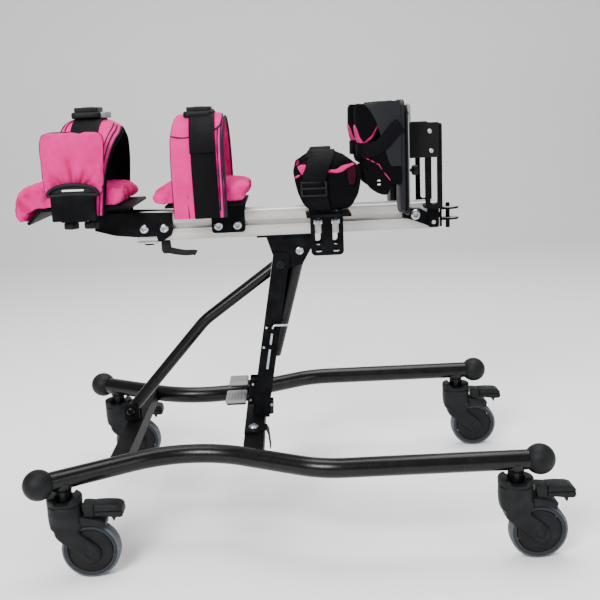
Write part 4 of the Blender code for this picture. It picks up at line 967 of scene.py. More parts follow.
def groove(v):
    """A shallow groove in a profile that climbs in v: down, across, back up."""
    depth, half = 0.0005, 0.0006
    foot, top = v - half, v + half
    return [(0.0, foot), (-depth, foot + depth / 2), (-depth, top - depth / 2), (0.0, top)]


def board_rail():
    """The extruded rail: a T slot and fine grooves down each side and along the top."""
    low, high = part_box("board_rail")
    half, bottom, top = RAIL_HALF, low.z, high.z
    edge = 0.0012
    side = [(0.0, bottom + edge), *groove(bottom + 0.0042), *groove(SLOT_Z - 0.0085)]
    side += [(0.0, SLOT_Z - 0.0052), (-0.0006, SLOT_Z - 0.0048), (-0.0030, SLOT_Z - 0.0048)]
    side += [(-0.0030, SLOT_Z - 0.0085), (-0.0105, SLOT_Z - 0.0050), (-0.0105, SLOT_Z + 0.0050)]
    side += [(-0.0030, SLOT_Z + 0.0085), (-0.0030, SLOT_Z + 0.0048), (-0.0006, SLOT_Z + 0.0048)]
    side += [(0.0, SLOT_Z + 0.0052), *groove(SLOT_Z + 0.0085), *groove(top - 0.0042), (0.0, top - edge)]
    right = [(half + depth, z) for depth, z in side]
    left = [(-y, z) for y, z in reversed(right)]
    roof = [(half - edge, top)]
    for y in (half - 0.0055, half - 0.0130, 0.0, 0.0130 - half, 0.0055 - half):
        roof += [(y + 0.0009, top), (y + 0.0004, top - 0.0006), (y - 0.0004, top - 0.0006), (y - 0.0009, top)]
    roof.append((edge - half, top))
    floor = [(edge - half, bottom), (half - edge, bottom)]
    outline = np.array(right + roof + left + floor)
    stations = np.concatenate([[low.x], np.linspace(low.x + 0.0006, high.x - 0.0006, 40), [high.x]])
    inset = np.ones(len(stations))
    inset[[0, -1]] = 0.985
    middle = vec(0.0, (bottom + top) / 2)
    rows = np.stack([
        np.concatenate([np.full((len(outline), 1), x), (outline - middle) * k + middle], axis=1)
        for x, k in zip(stations, inset)
    ])
    Shell().grid(rows).done("board_rail_extruded", ALUMINIUM, "board", "board_rail", ("board_rail",), 25.0)


def cross_bolt(centre, shank, reach, head, height):
    """A bolt across the frame: its round shank, and a screw's head just past each end."""
    bolt = Shell()
    for side in SIDES.values():
        hex_bolt(bolt, centre + vec(0, side * (reach + 0.0002), 0), (0, side, 0), head, height)
    bar = [(0, -reach), (shank, -reach), (shank, reach), (0, reach)]
    return bolt.grid(turned(bar, centre, (0, 1, 0), 32), caps=False)


def strut():
    """The strut's cylinder with two fine grooves and its eye, and the rod that runs in it."""
    along = unit(STRUT_FOOT - STRUT_TOP)
    profile = [(0, 0.012), (0.0118, 0.012), (0.0132, 0.0145), (0.0135, 0.018),
               (0.0135, 0.040), (0.0130, 0.0405), (0.0130, 0.0435), (0.0135, 0.044),
               (0.0135, 0.196), (0.0130, 0.1965), (0.0130, 0.1985), (0.0135, 0.199),
               (0.0135, 0.209), (0.0122, 0.212), (0.0060, 0.212), (0.0058, 0.2105),
               (0.0058, 0.200), (0, 0.200)]
    cylinder = Shell().grid(turned(profile, STRUT_TOP, along, 48), caps=False)
    eye = [(0.0044, -0.0115), (0.0050, -0.0125), (0.0112, -0.0125), (0.012, -0.0115),
           (0.012, 0.0115), (0.0112, 0.0125), (0.0050, 0.0125), (0.0044, 0.0115)]
    cylinder.grid(turned(eye, STRUT_TOP, (0, 1, 0), 40), loop=True)
    slot = "strut_cylinder"
    cylinder.done("strut_cylinder_turned", POWDER, "tilt_strut_cylinder", slot, (slot,))
    rod = [(0, 0.098), (0.005, 0.098), (0.005, 0.2955), (0.0042, 0.2968), (0, 0.2968)]
    bar = Shell().grid(turned(rod, STRUT_TOP, along, 32), caps=False)
    bar.done("strut_rod_turned", STEEL, "tilt_strut_rod", "strut_rod", ("strut_rod",))


def latch():
    """The latch's plate, the round bar that is bent into an L, and the plate's screws."""
    from_node("latch_plate", MATT, 0.0006)
    low, high = (mast_point(0.001, -0.0323, up) for up in (0.0934, 0.1792))
    path = filleted([low, high, high + vec(0.029, 0, 0)], (0.006,), 10)
    bar = Shell().grid(sweep(path, ring(0.0024, 20), (0, 1, 0)))
    bar.done("latch_bar", ZINC, "latch_bolt", "latch_rod", ("latch_rod",))
    heads = [(mast_point(-0.0105, -0.0280, up), (0, -1, 0)) for up in (0.133, 0.172)]
    bolts("latch_screws", "chassis", heads, 0.0028)


def foot_pin():
    """The two welded tabs on the mast's foot side, with the screws that hold the strut's pin."""
    outline = [(-0.0385, 0.1885), (-0.0300, 0.1900), (-0.0290, 0.2160), (-0.0375, 0.2165)]
    for name, low, high in (("foot_pin_tab", 0.0085, 0.0110), ("foot_pin_tab_near", -0.0110, -0.0085)):
        Shell().grid(slab(outline, low, high, 0.0005, on_xz)).done(name, POWDER, "chassis", "mast")
    bolts("foot_pin_screws", "chassis", both_sides(-0.0335, 0.0111, 0.2085), 0.0036)


def tilt_unit():
    """Mast, pivot plates, strut, latch and their screws."""
    from_node("mast", MATT, 0.0006)
    from_node("pivot_bracket", MATT, 0.0007)
    from_node("mast_hook", MATT, 0.0003)
    pivot = cross_bolt(TILT, 0.005, 0.0252, 0.0085, 0.0045)
    pivot.done("tilt_bolt", MOULDED, "chassis", "pivot_pin", ("pivot_pin",))
    top = cross_bolt(STRUT_TOP, 0.004, 0.0197, 0.0082, 0.0036)
    top.done("strut_bolt", ZINC, "board", "strut_top_pin", ("strut_top_pin",))
    strut()
    latch()
    foot_pin()


def pin_profile(radius, half, edge):
    """A round pin's radius and place along it, from end to end, its corners broken."""
    right = [(radius, half - 0.0004), (radius - edge, half), (0, half)]
    return [(r, -along) for r, along in reversed(right)] + right


def pedal(node, pivot, pad_x, pad_z, half, body):
    """A foot pedal: grey rubber pad on a black carrier, arm and hub between the ears."""
    pivot = vec(pivot[0], 0, pivot[1])
    front = pad_x[1]
    middle, reach = (pad_x[0] + front) / 2, (front - pad_x[0]) / 2
    pad = Shell().grid(block((middle, 0, pad_z + 0.0012), (reach - 0.0005, half - 0.0005, 0.0034), 0.0030, 5))
    ribs = 6
    for k in range(ribs):
        x = middle + reach * (k - 2.5) / 3.4
        pad.grid(block((x, 0, pad_z + 0.0046), (0.0011, half - 0.0045, 0.0009), 0.0008, 3))
    pad.done(node + "_tread", TREAD, body, node, (node,))

    bed = block((middle + 0.001, 0, pad_z - 0.0034), (reach - 0.0022, half - 0.003, 0.0022), 0.0016, 4)
    arm = [(pivot[0] + 0.0036, pivot[2] - 0.0045), (pivot[0] + 0.0036, pivot[2] + 0.0040),
           (front - 0.001, pad_z - 0.0010), (front - 0.010, pad_z - 0.0012), (front - 0.010, pad_z - 0.0052)]
    carrier = Shell().grid(bed)
    carrier.grid(slab(arm, -0.0085, 0.0085, 0.0008, on_xz))
    carrier.grid(turned(pin_profile(0.0048, 0.0134, 0.0002), pivot, (0, 1, 0), 32), caps=False)
    carrier.done(node + "_carrier", MOULDED, body, node)
    axle = Shell().grid(turned(pin_profile(0.0025, 0.0176, 0.0003), pivot, (0, 1, 0), 24), caps=False)
    axle.done(node + "_axle", ZINC, body, "pivot_pin")


board_rail()
tilt_unit()
pedal("pump_pedal", (-0.0675, 0.253), (-0.113, -0.076), 0.256, 0.0255, "pump_pedal_body")
pedal("release_pedal", (-0.0735, 0.221), (-0.122, -0.081), 0.223, 0.035, "release_pedal_body")


# Padded covers

# The depth that the shade of a fold in the cloth is measured against
FOLD_DEPTH = 0.004


def per_point(mesh, kind="co"):
    """A mesh's points as an array, or with the kind "normal" its normals."""
    numbers = np.empty(len(mesh.vertices) * 3, np.float32)
    mesh.vertices.foreach_get(kind, numbers)
    return numbers.reshape(-1, 3).astype(float)


def plump(made, held, voxel, cap):
    """Blow a closed form up as cloth: even mesh, 20 frames of pressure, moves capped, one
    subdivision. held gives True for the points that stay, such as a seam or the seat."""
    even = made.modifiers.new("even_mesh", "REMESH")
    even.mode, even.voxel_size = "VOXEL", voxel
    applied(made)
    start = per_point(made.data)
    made.vertex_groups.new(name="held").add(np.flatnonzero(held(start)).tolist(), 1.0, "REPLACE")
    cloth = made.modifiers.new("cover", "CLOTH")
    cloth.settings.quality = 5
    cloth.settings.vertex_group_mass = "held"
    cloth.settings.use_pressure = True
    cloth.settings.uniform_pressure_force = 4.0
    cloth.settings.effector_weights.gravity = 0.0
    cloth.settings.shrink_min = -0.05
    for step in range(1, 21):
        bpy.context.scene.frame_set(step)
    bpy.context.view_layer.update()
    moved = per_point(made.evaluated_get(bpy.context.evaluated_depsgraph_get()).data)
    made.modifiers.clear()
    made.vertex_groups.clear()
    bpy.context.scene.frame_set(1)
    move = moved - start
    far = np.linalg.norm(move, axis=1, keepdims=True)
    points = start + move * np.minimum(1.0, cap / np.maximum(far, 1e-9))
    made.data.vertices.foreach_set("co", points.astype(np.float32).ravel())
    made.data.update()
    finer = made.modifiers.new("finer", "SUBSURF")
    finer.levels = finer.render_levels = 1
    return applied(made)


def moved_along_normals(made, height):
    """Raise each point along its normal by height(points, normals). The mesh keeps how far
    each point was lowered, as a share of the fold's depth, in its attribute fold, which darkens the pink
    cloth's colour as painted shade."""
    mesh = made.data
    points, normals = per_point(mesh), per_point(mesh, "normal")
    raised = height(points, normals)
    points += normals * raised[:, None]
    mesh.vertices.foreach_set("co", points.astype(np.float32).ravel())
    # Painted shade: the attribute fold darkens the pink cloth's colour where the surface was lowered.
    fold = mesh.attributes.new("fold", "FLOAT", "POINT")
    fold.data.foreach_set("value", (-raised / FOLD_DEPTH).clip(0, 0.8).astype(np.float32))
    mesh.update()
    return made


def widest_ring(made, centre):
    """The line round a pad where it is widest, seen from its side."""
    count = 96
    points = per_point(made.data)
    offset = points[:, (0, 2)] - centre
    turn, reach = np.arctan2(offset[:, 1], offset[:, 0]), np.hypot(offset[:, 0], offset[:, 1])
    rows = []
    for angle in np.linspace(-PI, PI, count, endpoint=False):
        gap = np.abs((turn - angle + PI) % (2 * PI) - PI)
        close = np.flatnonzero(gap < 1.5 * PI / count)
        rows.append(points[close[np.argmax(reach[close])]])
    rows = np.stack(rows)
    return (np.roll(rows, 1, axis=0) + 2 * rows + np.roll(rows, -1, axis=0)) / 4


def cover(made, body, slot):
    """A finished padded piece in pink cloth, in place of the node of its slot."""
    dress(made, PINK, body, (slot,), 60.0)
    return made


def padded_strip(rows, name, finish, body, slot, replaces):
    """A padded piece made from rings of points."""
    made = Shell().grid(rows).done(name, finish, body, slot, replaces, 60.0)


def piping(name, path, radius, body, slot, up=(0, 1, 0), closed=False, finish=PIPING):
    """Bias binding over a cord, along a seam. A closed seam's ends meet."""
    if closed:
        path = np.concatenate([path[-1:], path, path[:1]])
    rows = sweep(path, ring(radius, 10), up)
    if closed:
        rows = rows[1:-1]
    return Shell().grid(rows, loop=closed).done(name, finish, body, slot)


def webbing(name, path, width, body, slot, across, thickness=0.0022):
    """Flat webbing along a path, its width along the direction across."""
    section = round_rect(thickness, width, thickness * 0.45, 3)
    return Shell().grid(sweep(path, section, across)).done(name, WEBBING, body, slot)


def arch_line(half, foot, top):
    """Near foot, over the top, far foot: points (y, z) and the outward direction there. The
    arch is two upright sides with a half circle on them."""
    spring = top - half
    rise = np.linspace(foot, spring, 18, endpoint=False)
    turn = np.linspace(PI, 0, 36)
    line = np.concatenate([
        np.stack([np.full(len(rise), -half), rise], axis=-1),
        np.stack([half * np.cos(turn), spring + half * np.sin(turn)], axis=-1),
        np.stack([np.full(len(rise), half), rise[::-1]], axis=-1),
    ])
    tangent = unit(np.gradient(line, axis=0))
    return line, np.stack([-tangent[:, 1], tangent[:, 0]], axis=-1)


def share_along(line):
    """How far along the line each point is, from 0 to 1."""
    run = np.concatenate([[0.0], np.cumsum(np.linalg.norm(np.diff(line, axis=0), axis=1))])
    return run / run[-1]


def wrap_rows(line, outward, edges, inner, outer, crown, seed, wrinkle):
    """Rings of a padded strip that follows an arch. edges gives the strip's left and right X
    at shares of the way; inner and outer are its faces' distances from the line."""
    share = share_along(line)
    left = np.interp(share, *edges[0])
    right = np.interp(share, *edges[1])
    turn = full_turn(44)
    flat = squared(np.cos(turn), 0.32)
    thick = squared(np.sin(turn), 0.75)
    x = ((left + right) / 2)[:, None] + ((right - left) / 2)[:, None] * flat
    lift = (inner + outer) / 2 + (outer - inner) / 2 * thick[None] * np.ones((len(line), 1))
    lift = lift + crown * (1 - flat[None] ** 2) * (thick[None] > 0)
    y = line[:, :1] + outward[:, :1] * lift
    z = line[:, 1:] + outward[:, 1:] * lift
    rows = np.stack([x, y, z], axis=-1)
    bump = ripple(rows, wrinkle, 0.028, seed)
    rows[..., 1] += outward[:, :1] * bump
    rows[..., 2] += outward[:, 1:] * bump
    return rows


def edge_path(line, outward, edge, lift, start, end):
    """The line that a strip's edge takes: its X at shares of the way, lifted off the arch."""
    share = share_along(line)
    kept = (share >= start) & (share <= end)
    x = np.interp(share, *edge)
    y, z = line[:, 0] + outward[:, 0] * lift, line[:, 1] + outward[:, 1] * lift
    return np.stack([x, y, z], axis=-1)[kept]


def shifted_edge(edge, by):
    """An edge table with its X moved."""
    return edge[0], tuple(x + by for x in edge[1])


def cushion(name, outline, half, edge, held, voxel, cap):
    """A stuffed cushion between two flat sides: its side view rounded, then blown up."""
    outline = smooth_path([*outline, outline[0]], 5)[:-1]
    form = Shell().grid(slab(outline, -half, half, edge, on_xz)).form(name)
    return plump(form, held, voxel, cap)


# Chest section

def knob(name, centre, body, slot):
    """A five-lobed clamping knob on a vertical stud."""
    turn = full_turn(60)
    lobes = 0.0118 + 0.0016 * np.cos(5 * turn)
    levels = ((0.30, 0.0062), (0.86, 0.0060), (0.97, 0.0048), (1.0, 0.0030),
              (1.0, -0.0035), (0.95, -0.0052), (0.82, -0.0062), (0.30, -0.0064))
    rows = []
    for share, height in levels:
        flat = lobes * share * np.cos(turn), lobes * share * np.sin(turn)
        rows.append(np.stack([*flat, np.full(len(turn), height)], axis=-1))
    shell = Shell().grid(np.stack(rows) + vec(*centre))
    stem = [(0, 0.0138), (0.0045, 0.0138), (0.0052, 0.0055), (0, 0.0055)]
    shell.grid(turned(stem, centre, (0, 0, 1), 24), caps=False)
    return shell.done(name, MOULDED, body, slot)


def rail_screws(name, body, places):
    """Screws through a section's side arms into the rail's T slots, at the given X."""
    out, z, radius = 0.0300, 0.566, 0.0088
    bolts(name, body, [screw for x in places for screw in both_sides(x, out, z)], radius)


def chest_clamp_nut():
    """The zinc nut under the chest section, with its round black foot."""
    body, slot = "chest_section", "chest_arm_near"
    nut = Shell().grid(block((-0.2505, 0, 0.5395), (0.0185, 0.016, 0.0034), 0.0012))
    nut.done("clamp_nut", ZINC, body, slot)
    profile = [(0, 0.5362), (0.0105, 0.5362), (0.0112, 0.5350), (0.0095, 0.5325), (0, 0.5318)]
    foot = Shell().grid(turned(profile, (-0.248, 0, 0), (0, 0, 1), 32), caps=False)
    foot.done("clamp_nut_foot", MOULDED, body, slot)


def chest_creases(points, normals):
    """A soft sag all over, and folds on the sides where the cover is rolled down."""
    sag = ripple(points, 0.0011, 0.034, 3) + ripple(points, 0.0005, 0.013, 8)
    wave = np.sin(points[:, 0] * 210 + 3 * np.sin(points[:, 2] * 90))
    fold = 0.0016 * wave * (np.abs(normals[:, 1]) ** 1.5)
    return sag + fold * np.exp(-((points[:, 0] + 0.445) / 0.035) ** 2)


def chest_seat():
    """The arms, the tray and the cushion that is rolled down at the head end."""
    for label in SIDES:
        from_node("chest_arm_" + label, MATT, 0.0009)
    rail_screws("chest_arm_screws", "chest_section", (-0.252, -0.215))
    from_node("chest_tray", MATT, 0.0010)
    chest_clamp_nut()
    outline = [(-0.287, 0.6190), (-0.275, 0.6290), (-0.292, 0.6435), (-0.345, 0.6450),
               (-0.380, 0.6490), (-0.412, 0.6550), (-0.441, 0.6520), (-0.4610, 0.6430),
               (-0.4695, 0.6220), (-0.4690, 0.6000), (-0.4610, 0.5940), (-0.4520, 0.5975),
               (-0.4370, 0.6170), (-0.4240, 0.6205)]
    made = cushion("chest_cushion_cover", outline, 0.0955, 0.010,
                   lambda p: (p[:, 2] < 0.6215) & (p[:, 0] > -0.430), 0.005, 0.0065)
    cover(moved_along_normals(made, chest_creases), "chest_section", "chest_cushion")


# The chest band's arch: half width, foot and top. Then its edges: shares of the way and the X there
CHEST_HALF = 0.1065
CHEST_LINE = arch_line(CHEST_HALF, 0.603, 0.7665)
CHEST_RIGHT = (
    (0.0, 0.06, 0.127, 0.207, 0.287, 0.34, 0.387,
     0.44, 0.50, 0.57, 0.65, 0.77, 0.86, 1.0),
    (-0.3116, -0.3084, -0.3047, -0.2968, -0.2900, -0.2855, -0.2818,
     -0.2820, -0.2850, -0.2870, -0.2880, -0.2925, -0.2962, -0.3010),
)
CHEST_LEFT = (
    (0.0, 0.20, 0.366, 0.436, 0.50, 0.564, 0.634, 1.0),
    (-0.352, -0.374, -0.381, -0.3755, -0.370, -0.3755, -0.381, -0.372),
)


def sloped(points):
    """The band's arch falls away towards its foot-end edge, most of all at its top."""
    fall = 0.0115 * ((points[..., 0] + 0.318) / 0.031).clip(0, 1.2) ** 1.8
    lowered = points.copy()
    lowered[..., 2] -= fall * ((points[..., 2] - 0.66) / CHEST_HALF).clip(0, 1)
    return lowered


def chest_band():
    """The band over the chest: a padded pink strip on a black loop lining, piped all round."""
    line, out = CHEST_LINE
    left, right = CHEST_LEFT, CHEST_RIGHT
    body, slot = "chest_section", "chest_band"
    pink = wrap_rows(line, out, (left, right), -0.0012, 0.0030, 0.0016, 4, 0.0006)
    padded_strip(sloped(pink), "chest_band_cover", PINK, body, slot, (slot,))
    edges = shifted_edge(left, -0.002), shifted_edge(right, 0.0048)
    lining = wrap_rows(line, out, edges, -0.0060, -0.0014, 0.0, 5, 0.0008)
    Shell().grid(sloped(lining)).done("chest_band_lining", FLEECE, body, slot, (), 60.0)
    edges = shifted_edge(right, -0.020), shifted_edge(right, -0.0055)
    fold = wrap_rows(line, out, edges, 0.0016, 0.0050, 0.0008, 6, 0.0004)
    near_part = fold[: len(fold) * 45 // 100]
    Shell().grid(sloped(near_part)).done("chest_band_fold", PINK, body, slot, (), 60.0)
    for number, (edge, shift, lift, start, end) in enumerate((
        (right, 0.0010, 0.0012, 0.0, 1.0),
        (right, -0.0050, 0.0040, 0.0, 0.45),
        (right, -0.0105, 0.0052, 0.0, 0.45),
        (left, -0.0008, 0.0014, 0.0, 1.0),
        (left, 0.0070, 0.0036, 0.30, 0.62),
    )):
        path = sloped(edge_path(line, out, shifted_edge(edge, shift), lift, start, end))
        piping("chest_band_piping_%d" % number, path, 0.0011, body, slot, (1, 0, 0))
    path = edge_path(line, out, ((0.0, 1.0), (-0.3385, -0.3385)), 0.0052, 0.10, 0.90)
    webbing("chest_strap", path, 0.050, body, slot, (1, 0, 0))
    buckle("chest_buckle", (-0.3692, -0.031, 0.7705), (-0.3160, 0.031, 0.7905), body, slot, 0.0115)


def buckle(name, low, high, body, slot, tongue=0.0):
    """A side-release buckle between two corners: a round-ended frame, a narrower raised half and,
    when the tongue has a length, the grey half that is pressed into it."""
    low, high = vec(*low), vec(*high)
    x, y, _ = (low + high) / 2
    width, depth, height = high - low
    waist = low[2] + height * 0.56
    frame_outline = round_rect(width, depth, 0.010, 7) + [x, y]
    raised = round_rect(width * 0.80, depth * 0.90, 0.004, 5) + [x + 0.001, y]
    shell = Shell()
    shell.grid(slab(frame_outline, low[2], waist + 0.0006, 0.0032, on_xy))
    shell.grid(slab(raised, waist, high[2], 0.0016, on_xy))
    for k in (-1, 0, 1):
        shell.grid(block((x + 0.006 * k, y, high[2] + 0.0002), (0.0010, depth * 0.26, 0.0007), 0.0006, 3))
    shell.done(name, MOULDED, body, slot)
    if tongue:
        middle = (high[0] + tongue / 2 - 0.001, y, (low[2] + waist) / 2)
        grey = block(middle, (tongue / 2 + 0.001, depth * 0.34, (waist - low[2]) / 2), 0.0020, 5)
        Shell().grid(grey).done(name + "_tongue", ACETAL, body, slot)


# Folds of a side pad round its handle: direction, depth share, length
GATHERS = (
    (-0.83, 0.7, 0.020), (-0.62, 1.0, 0.026), (-0.40, 0.7, 0.018), (-0.22, 0.5, 0.014),
    (-0.04, 1.0, 0.042), (0.20, 0.6, 0.018), (0.42, 1.0, 0.034), (0.70, 1.0, 0.024),
    (0.95, 0.7, 0.018),
)
# The middle of the side pad, of its box bracket and of its handle: X and height
PAD_MIDDLE = (-0.3525, 0.695)
BOX_MIDDLE = (-0.3568, 0.6198)
HANDLE_X = -0.3555


def lateral_pad(label, body):
    """The stuffed side pad, gathered onto its handle, with piping round it."""
    side, slot = SIDES[label], "chest_pad_" + label
    outline = np.array([(-0.4035, 0.6500), (-0.4040, 0.6900), (-0.4035, 0.7330), (-0.4000, 0.7415),
                        (-0.3920, 0.7455), (-0.3520, 0.7460), (-0.3110, 0.7450), (-0.3030, 0.7405),
                        (-0.3000, 0.7320), (-0.3015, 0.6900), (-0.3060, 0.6500), (-0.3120, 0.6440),
                        (-0.3960, 0.6440)])
    centre = np.array(PAD_MIDDLE)
    full = centre + (outline - centre) * 1.052
    faces = sorted((side * 0.1130, side * 0.1225))
    form = Shell().grid(slab(full, *faces, 0.0035, on_xz)).form("chest_pad_cover_" + label)
    made = plump(form, lambda p: (side * p[:, 1] < 0.1140) | (p[:, 2] < 0.6455), 0.004, 0.0040)

    def gathers(points, normals):
        """Folds that run out from the handle: each is a bell across its own direction, wider
        further out, that fades along its length. Only the outer face has them."""
        across, up = points[:, 0] - HANDLE_X, points[:, 2] - 0.632
        spoke, reach = np.arctan2(across, up), np.hypot(across, up)
        depth = ripple(points, 0.0005, 0.022, 11)
        for angle, share, length in GATHERS:
            width = 0.085 + 0.5 * (reach - 0.030).clip(0)
            fade = np.exp(-((reach - 0.026).clip(0) / length) ** 2)
            depth = depth - 0.0042 * share * fade * np.exp(-((spoke - angle) / width) ** 2)
        return (side * normals[:, 1]).clip(0, 1) * depth

    pad = cover(moved_along_normals(made, gathers), body, slot)
    piping("chest_pad_piping_" + label, widest_ring(pad, centre), 0.0011, body, slot, closed=True)


def lateral_bracket(label, body, slot):
    """The bracket's box front with its two side plates, and the arm that carries it."""
    side = SIDES[label]
    x, z = BOX_MIDDLE
    front = round_rect(0.0755, 0.0460, 0.0022, 4) + [x, z]
    plate = Shell().grid(slab(front, *sorted((side * 0.1235, side * 0.1292)), 0.0010, on_xz))
    for across in (-0.0360, 0.0360):
        plate.grid(block((x + across, side * 0.1190, z), (0.0018, 0.0060, 0.0225), 0.0008, 3))
    plate.grid(block((-0.3583, side * 0.083, 0.5968), (0.0218, 0.0420, 0.0023), 0.0009, 3))
    plate.done("lateral_bracket_" + label, MATT, body, slot, (slot,))


def bowed(wide, foot, rise, turn):
    """A low bow over the bracket in side view: half width, foot height and rise."""
    x = HANDLE_X + wide * np.cos(turn)
    return np.stack([x, foot + rise * np.sin(turn) ** 0.85], axis=-1)


def lateral_handle(label, body, slot):
    """The bowed handle, its backing and the elastic tape that shows in it."""
    side = SIDES[label]
    turn = np.linspace(0, PI, 40)
    bow = bowed(0.0435, 0.6415, 0.0185, turn)
    y = side * 0.1262
    bow_path = np.stack([bow[:, 0], np.full(len(turn), y), bow[:, 1]], axis=-1)
    foot = smooth_path([bow_path[0], vec(HANDLE_X, y, 0.6435), bow_path[-1]], 8)
    flat = np.concatenate([bow_path[::-1], foot[1:-1]])
    ends = np.concatenate([flat[-1:], flat, flat[:1]])
    section = superellipse(0.0030, 0.0042, 0.7, 16)
    handle = Shell().grid(sweep(ends, section, (0, 1, 0))[1:-1], loop=True)
    handle.done("lateral_handle_" + label, MOULDED, body, slot)
    inside = bowed(0.0395, 0.6440, 0.0135, turn)
    backing = Shell().grid(slab(inside, *sorted((side * 0.1240, side * 0.1252)), 0.0003, on_xz))
    backing.done("lateral_backing_" + label, MOULDED, body, slot)
    tape = round_rect(0.0385, 0.0030, 0.0013, 3) + [-0.3550, 0.6500]
    elastic = Shell().grid(slab(tape, *sorted((side * 0.1254, side * 0.1262)), 0.0002, on_xz))
    elastic.done("lateral_tape_" + label, CREAM, body, slot)


def lateral(label):
    """A side pad gathered onto its handle, the box bracket, its knobs and the elastic tape."""
    body, slot = "chest_lateral_" + label, "chest_bracket_" + label
    lateral_pad(label, body)
    lateral_bracket(label, body, slot)
    lateral_handle(label, body, slot)
    for number, x in enumerate((-0.3685, -0.3330)):
        knob("lateral_knob_%d_%s" % (number, label), (x, SIDES[label] * 0.1010, 0.5865), body, slot)


def clamp_lever():
    """The clamping lever: a ribbed hub and a cranked arm."""
    x, z = -0.2175, 0.5405
    hub = [(0, 0), (0.0072, 0), (0.0086, -0.0012), (0.0092, -0.0060), (0.0092, -0.0185),
           (0.0080, -0.0235), (0.0050, -0.0258), (0, -0.0262)]
    lever = Shell().grid(turned(hub, (x, 0, z), (0, 0, 1), 40), caps=False)
    crank = ((0.002, 0.0190), (0.018, 0.0232), (0.036, 0.0262), (0.052, 0.0262), (0.0560, 0.0280))
    path = smooth_path([vec(x + along, 0, z - down) for along, down in crank], 6)
    share = np.linspace(0, 1, len(path))[:, None, None]
    size = 1.0 - 0.30 * share + 0.16 * np.exp(-((share - 0.93) / 0.08) ** 2)
    lever.grid(sweep(path, round_rect(0.0130, 0.0125, 0.0045, 5)[None] * size, (0, 0, 1)))
    slot = "chest_clamp_lever"
    lever.done("clamp_lever_cranked", MOULDED, "clamp_lever", slot, (slot,))


chest_seat()
chest_band()
for side_label in SIDES:
    lateral(side_label)
clamp_lever()


# Hip section

# The hip wrap's arch: half width, foot and top. Then its edges and its strap's middle: shares
# of the way and the X there
HIP_LINE = arch_line(0.1035, 0.590, 0.767)
HIP_RIGHT = (
    (0.0, 0.10, 0.30, 0.42, 0.5, 0.62, 1.0),
    (-0.0945, -0.0940, -0.0950, -0.0925, -0.0935, -0.0930, -0.0915),
)
HIP_LEFT = ((0.0, 0.3, 0.42, 0.5, 1.0), (-0.1845, -0.1860, -0.1815, -0.1780, -0.1830))
HIP_STRAP = ((0.0, 0.22, 0.36, 0.5, 1.0), (-0.1265, -0.1280, -0.1305, -0.1330, -0.1310))
# The seam on the wrap's near side: X, how far out, and height
HIP_SEAM = (
    (-0.1850, 0.0035, 0.7312), (-0.1790, 0.0058, 0.7287), (-0.1680, 0.0064, 0.7267),
    (-0.1540, 0.0064, 0.7270), (-0.1200, 0.0064, 0.7335), (-0.1070, 0.0062, 0.7390),
    (-0.0985, 0.0060, 0.7455), (-0.0950, 0.0050, 0.7600),
)


def hip_creases(points, _):
    """Small soft dents all over the cushion."""
    return ripple(points, 0.0009, 0.030, 21) + ripple(points, 0.0005, 0.012, 22)


def hip_seat():
    """The bracket with its screws, and the cushion on it."""
    from_node("hip_bracket", MATT, 0.0009)
    rail_screws("hip_bracket_screws", "hip_section", (-0.1144, -0.0790))
    outline = [(-0.0610, 0.6160), (-0.0590, 0.6320), (-0.0625, 0.6440), (-0.1880, 0.6430),
               (-0.2080, 0.6385), (-0.2265, 0.6290), (-0.2200, 0.6190), (-0.2060, 0.6150)]
    made = cushion("hip_cushion_cover", outline, 0.0835, 0.009, lambda p: p[:, 2] < 0.6165, 0.005, 0.006)
    cover(moved_along_normals(made, hip_creases), "hip_section", "hip_cushion")


def hip_seam():
    """The piped seam that curves across the wrap's near side."""
    line, out = (part[: len(part) // 2] for part in HIP_LINE)
    seam = []
    for x, lift, height in HIP_SEAM:
        columns = (*line.T, *out.T)
        y, z, out_y, out_z = (np.interp(height, line[:, 1], column) for column in columns)
        seam.append(vec(x, y + out_y * lift, z + out_z * lift))
    piping("hip_wrap_seam", smooth_path(seam, 8), 0.0011, "hip_section", "hip_wrap")


def hip_wrap():
    """The padded wrap over the hips, with its piping, strap and buckle."""
    line, out = HIP_LINE
    left, right = HIP_LEFT, HIP_RIGHT
    body, slot = "hip_section", "hip_wrap"
    outer = wrap_rows(line, out, (left, shifted_edge(right, -0.004)), 0.0000, 0.0052, 0.0010, 24, 0.0007)
    padded_strip(outer, "hip_wrap_cover", PINK, body, slot, (slot,))
    inner = wrap_rows(line, out, (shifted_edge(left, 0.002), right), -0.0052, -0.0002, 0.0, 25, 0.0008)
    padded_strip(inner, "hip_wrap_lining", PINK, body, slot, ())
    for number, (edge, shift, lift, start, end, radius) in enumerate((
        (right, 0.0008, -0.0022, 0.0, 1.0, 0.0022),
        (right, -0.0030, 0.0024, 0.0, 0.50, 0.0011),
        (right, -0.0085, 0.0054, 0.02, 0.36, 0.0010),
        (left, -0.0004, 0.0010, 0.0, 1.0, 0.0011),
        (left, 0.0260, 0.0056, 0.0, 0.09, 0.0008),
    )):
        path = edge_path(line, out, shifted_edge(edge, shift), lift, start, end)
        piping("hip_wrap_piping_%d" % number, path, radius, body, slot, (1, 0, 0))
    hip_seam()
    path = edge_path(line, out, HIP_STRAP, 0.0080, 0.0, 1.0)
    webbing("hip_strap", path, 0.0440, body, slot, (1, 0, 0))
    path = edge_path(line, out, shifted_edge(HIP_STRAP, -0.0008), 0.0104, 0.226, 0.50)
    webbing("hip_strap_end", path, 0.0448, body, slot, (1, 0, 0), 0.0024)
    buckle("hip_buckle", (-0.1656, -0.046, 0.7650), (-0.1115, 0.014, 0.7835), body, slot)


hip_seat()
hip_wrap()


# Knee section

# The cuff's axis, out from the middle and up, and its radius
CUFF_Y = 0.070
CUFF_Z = 0.6415
CUFF_OUTER = 0.0500
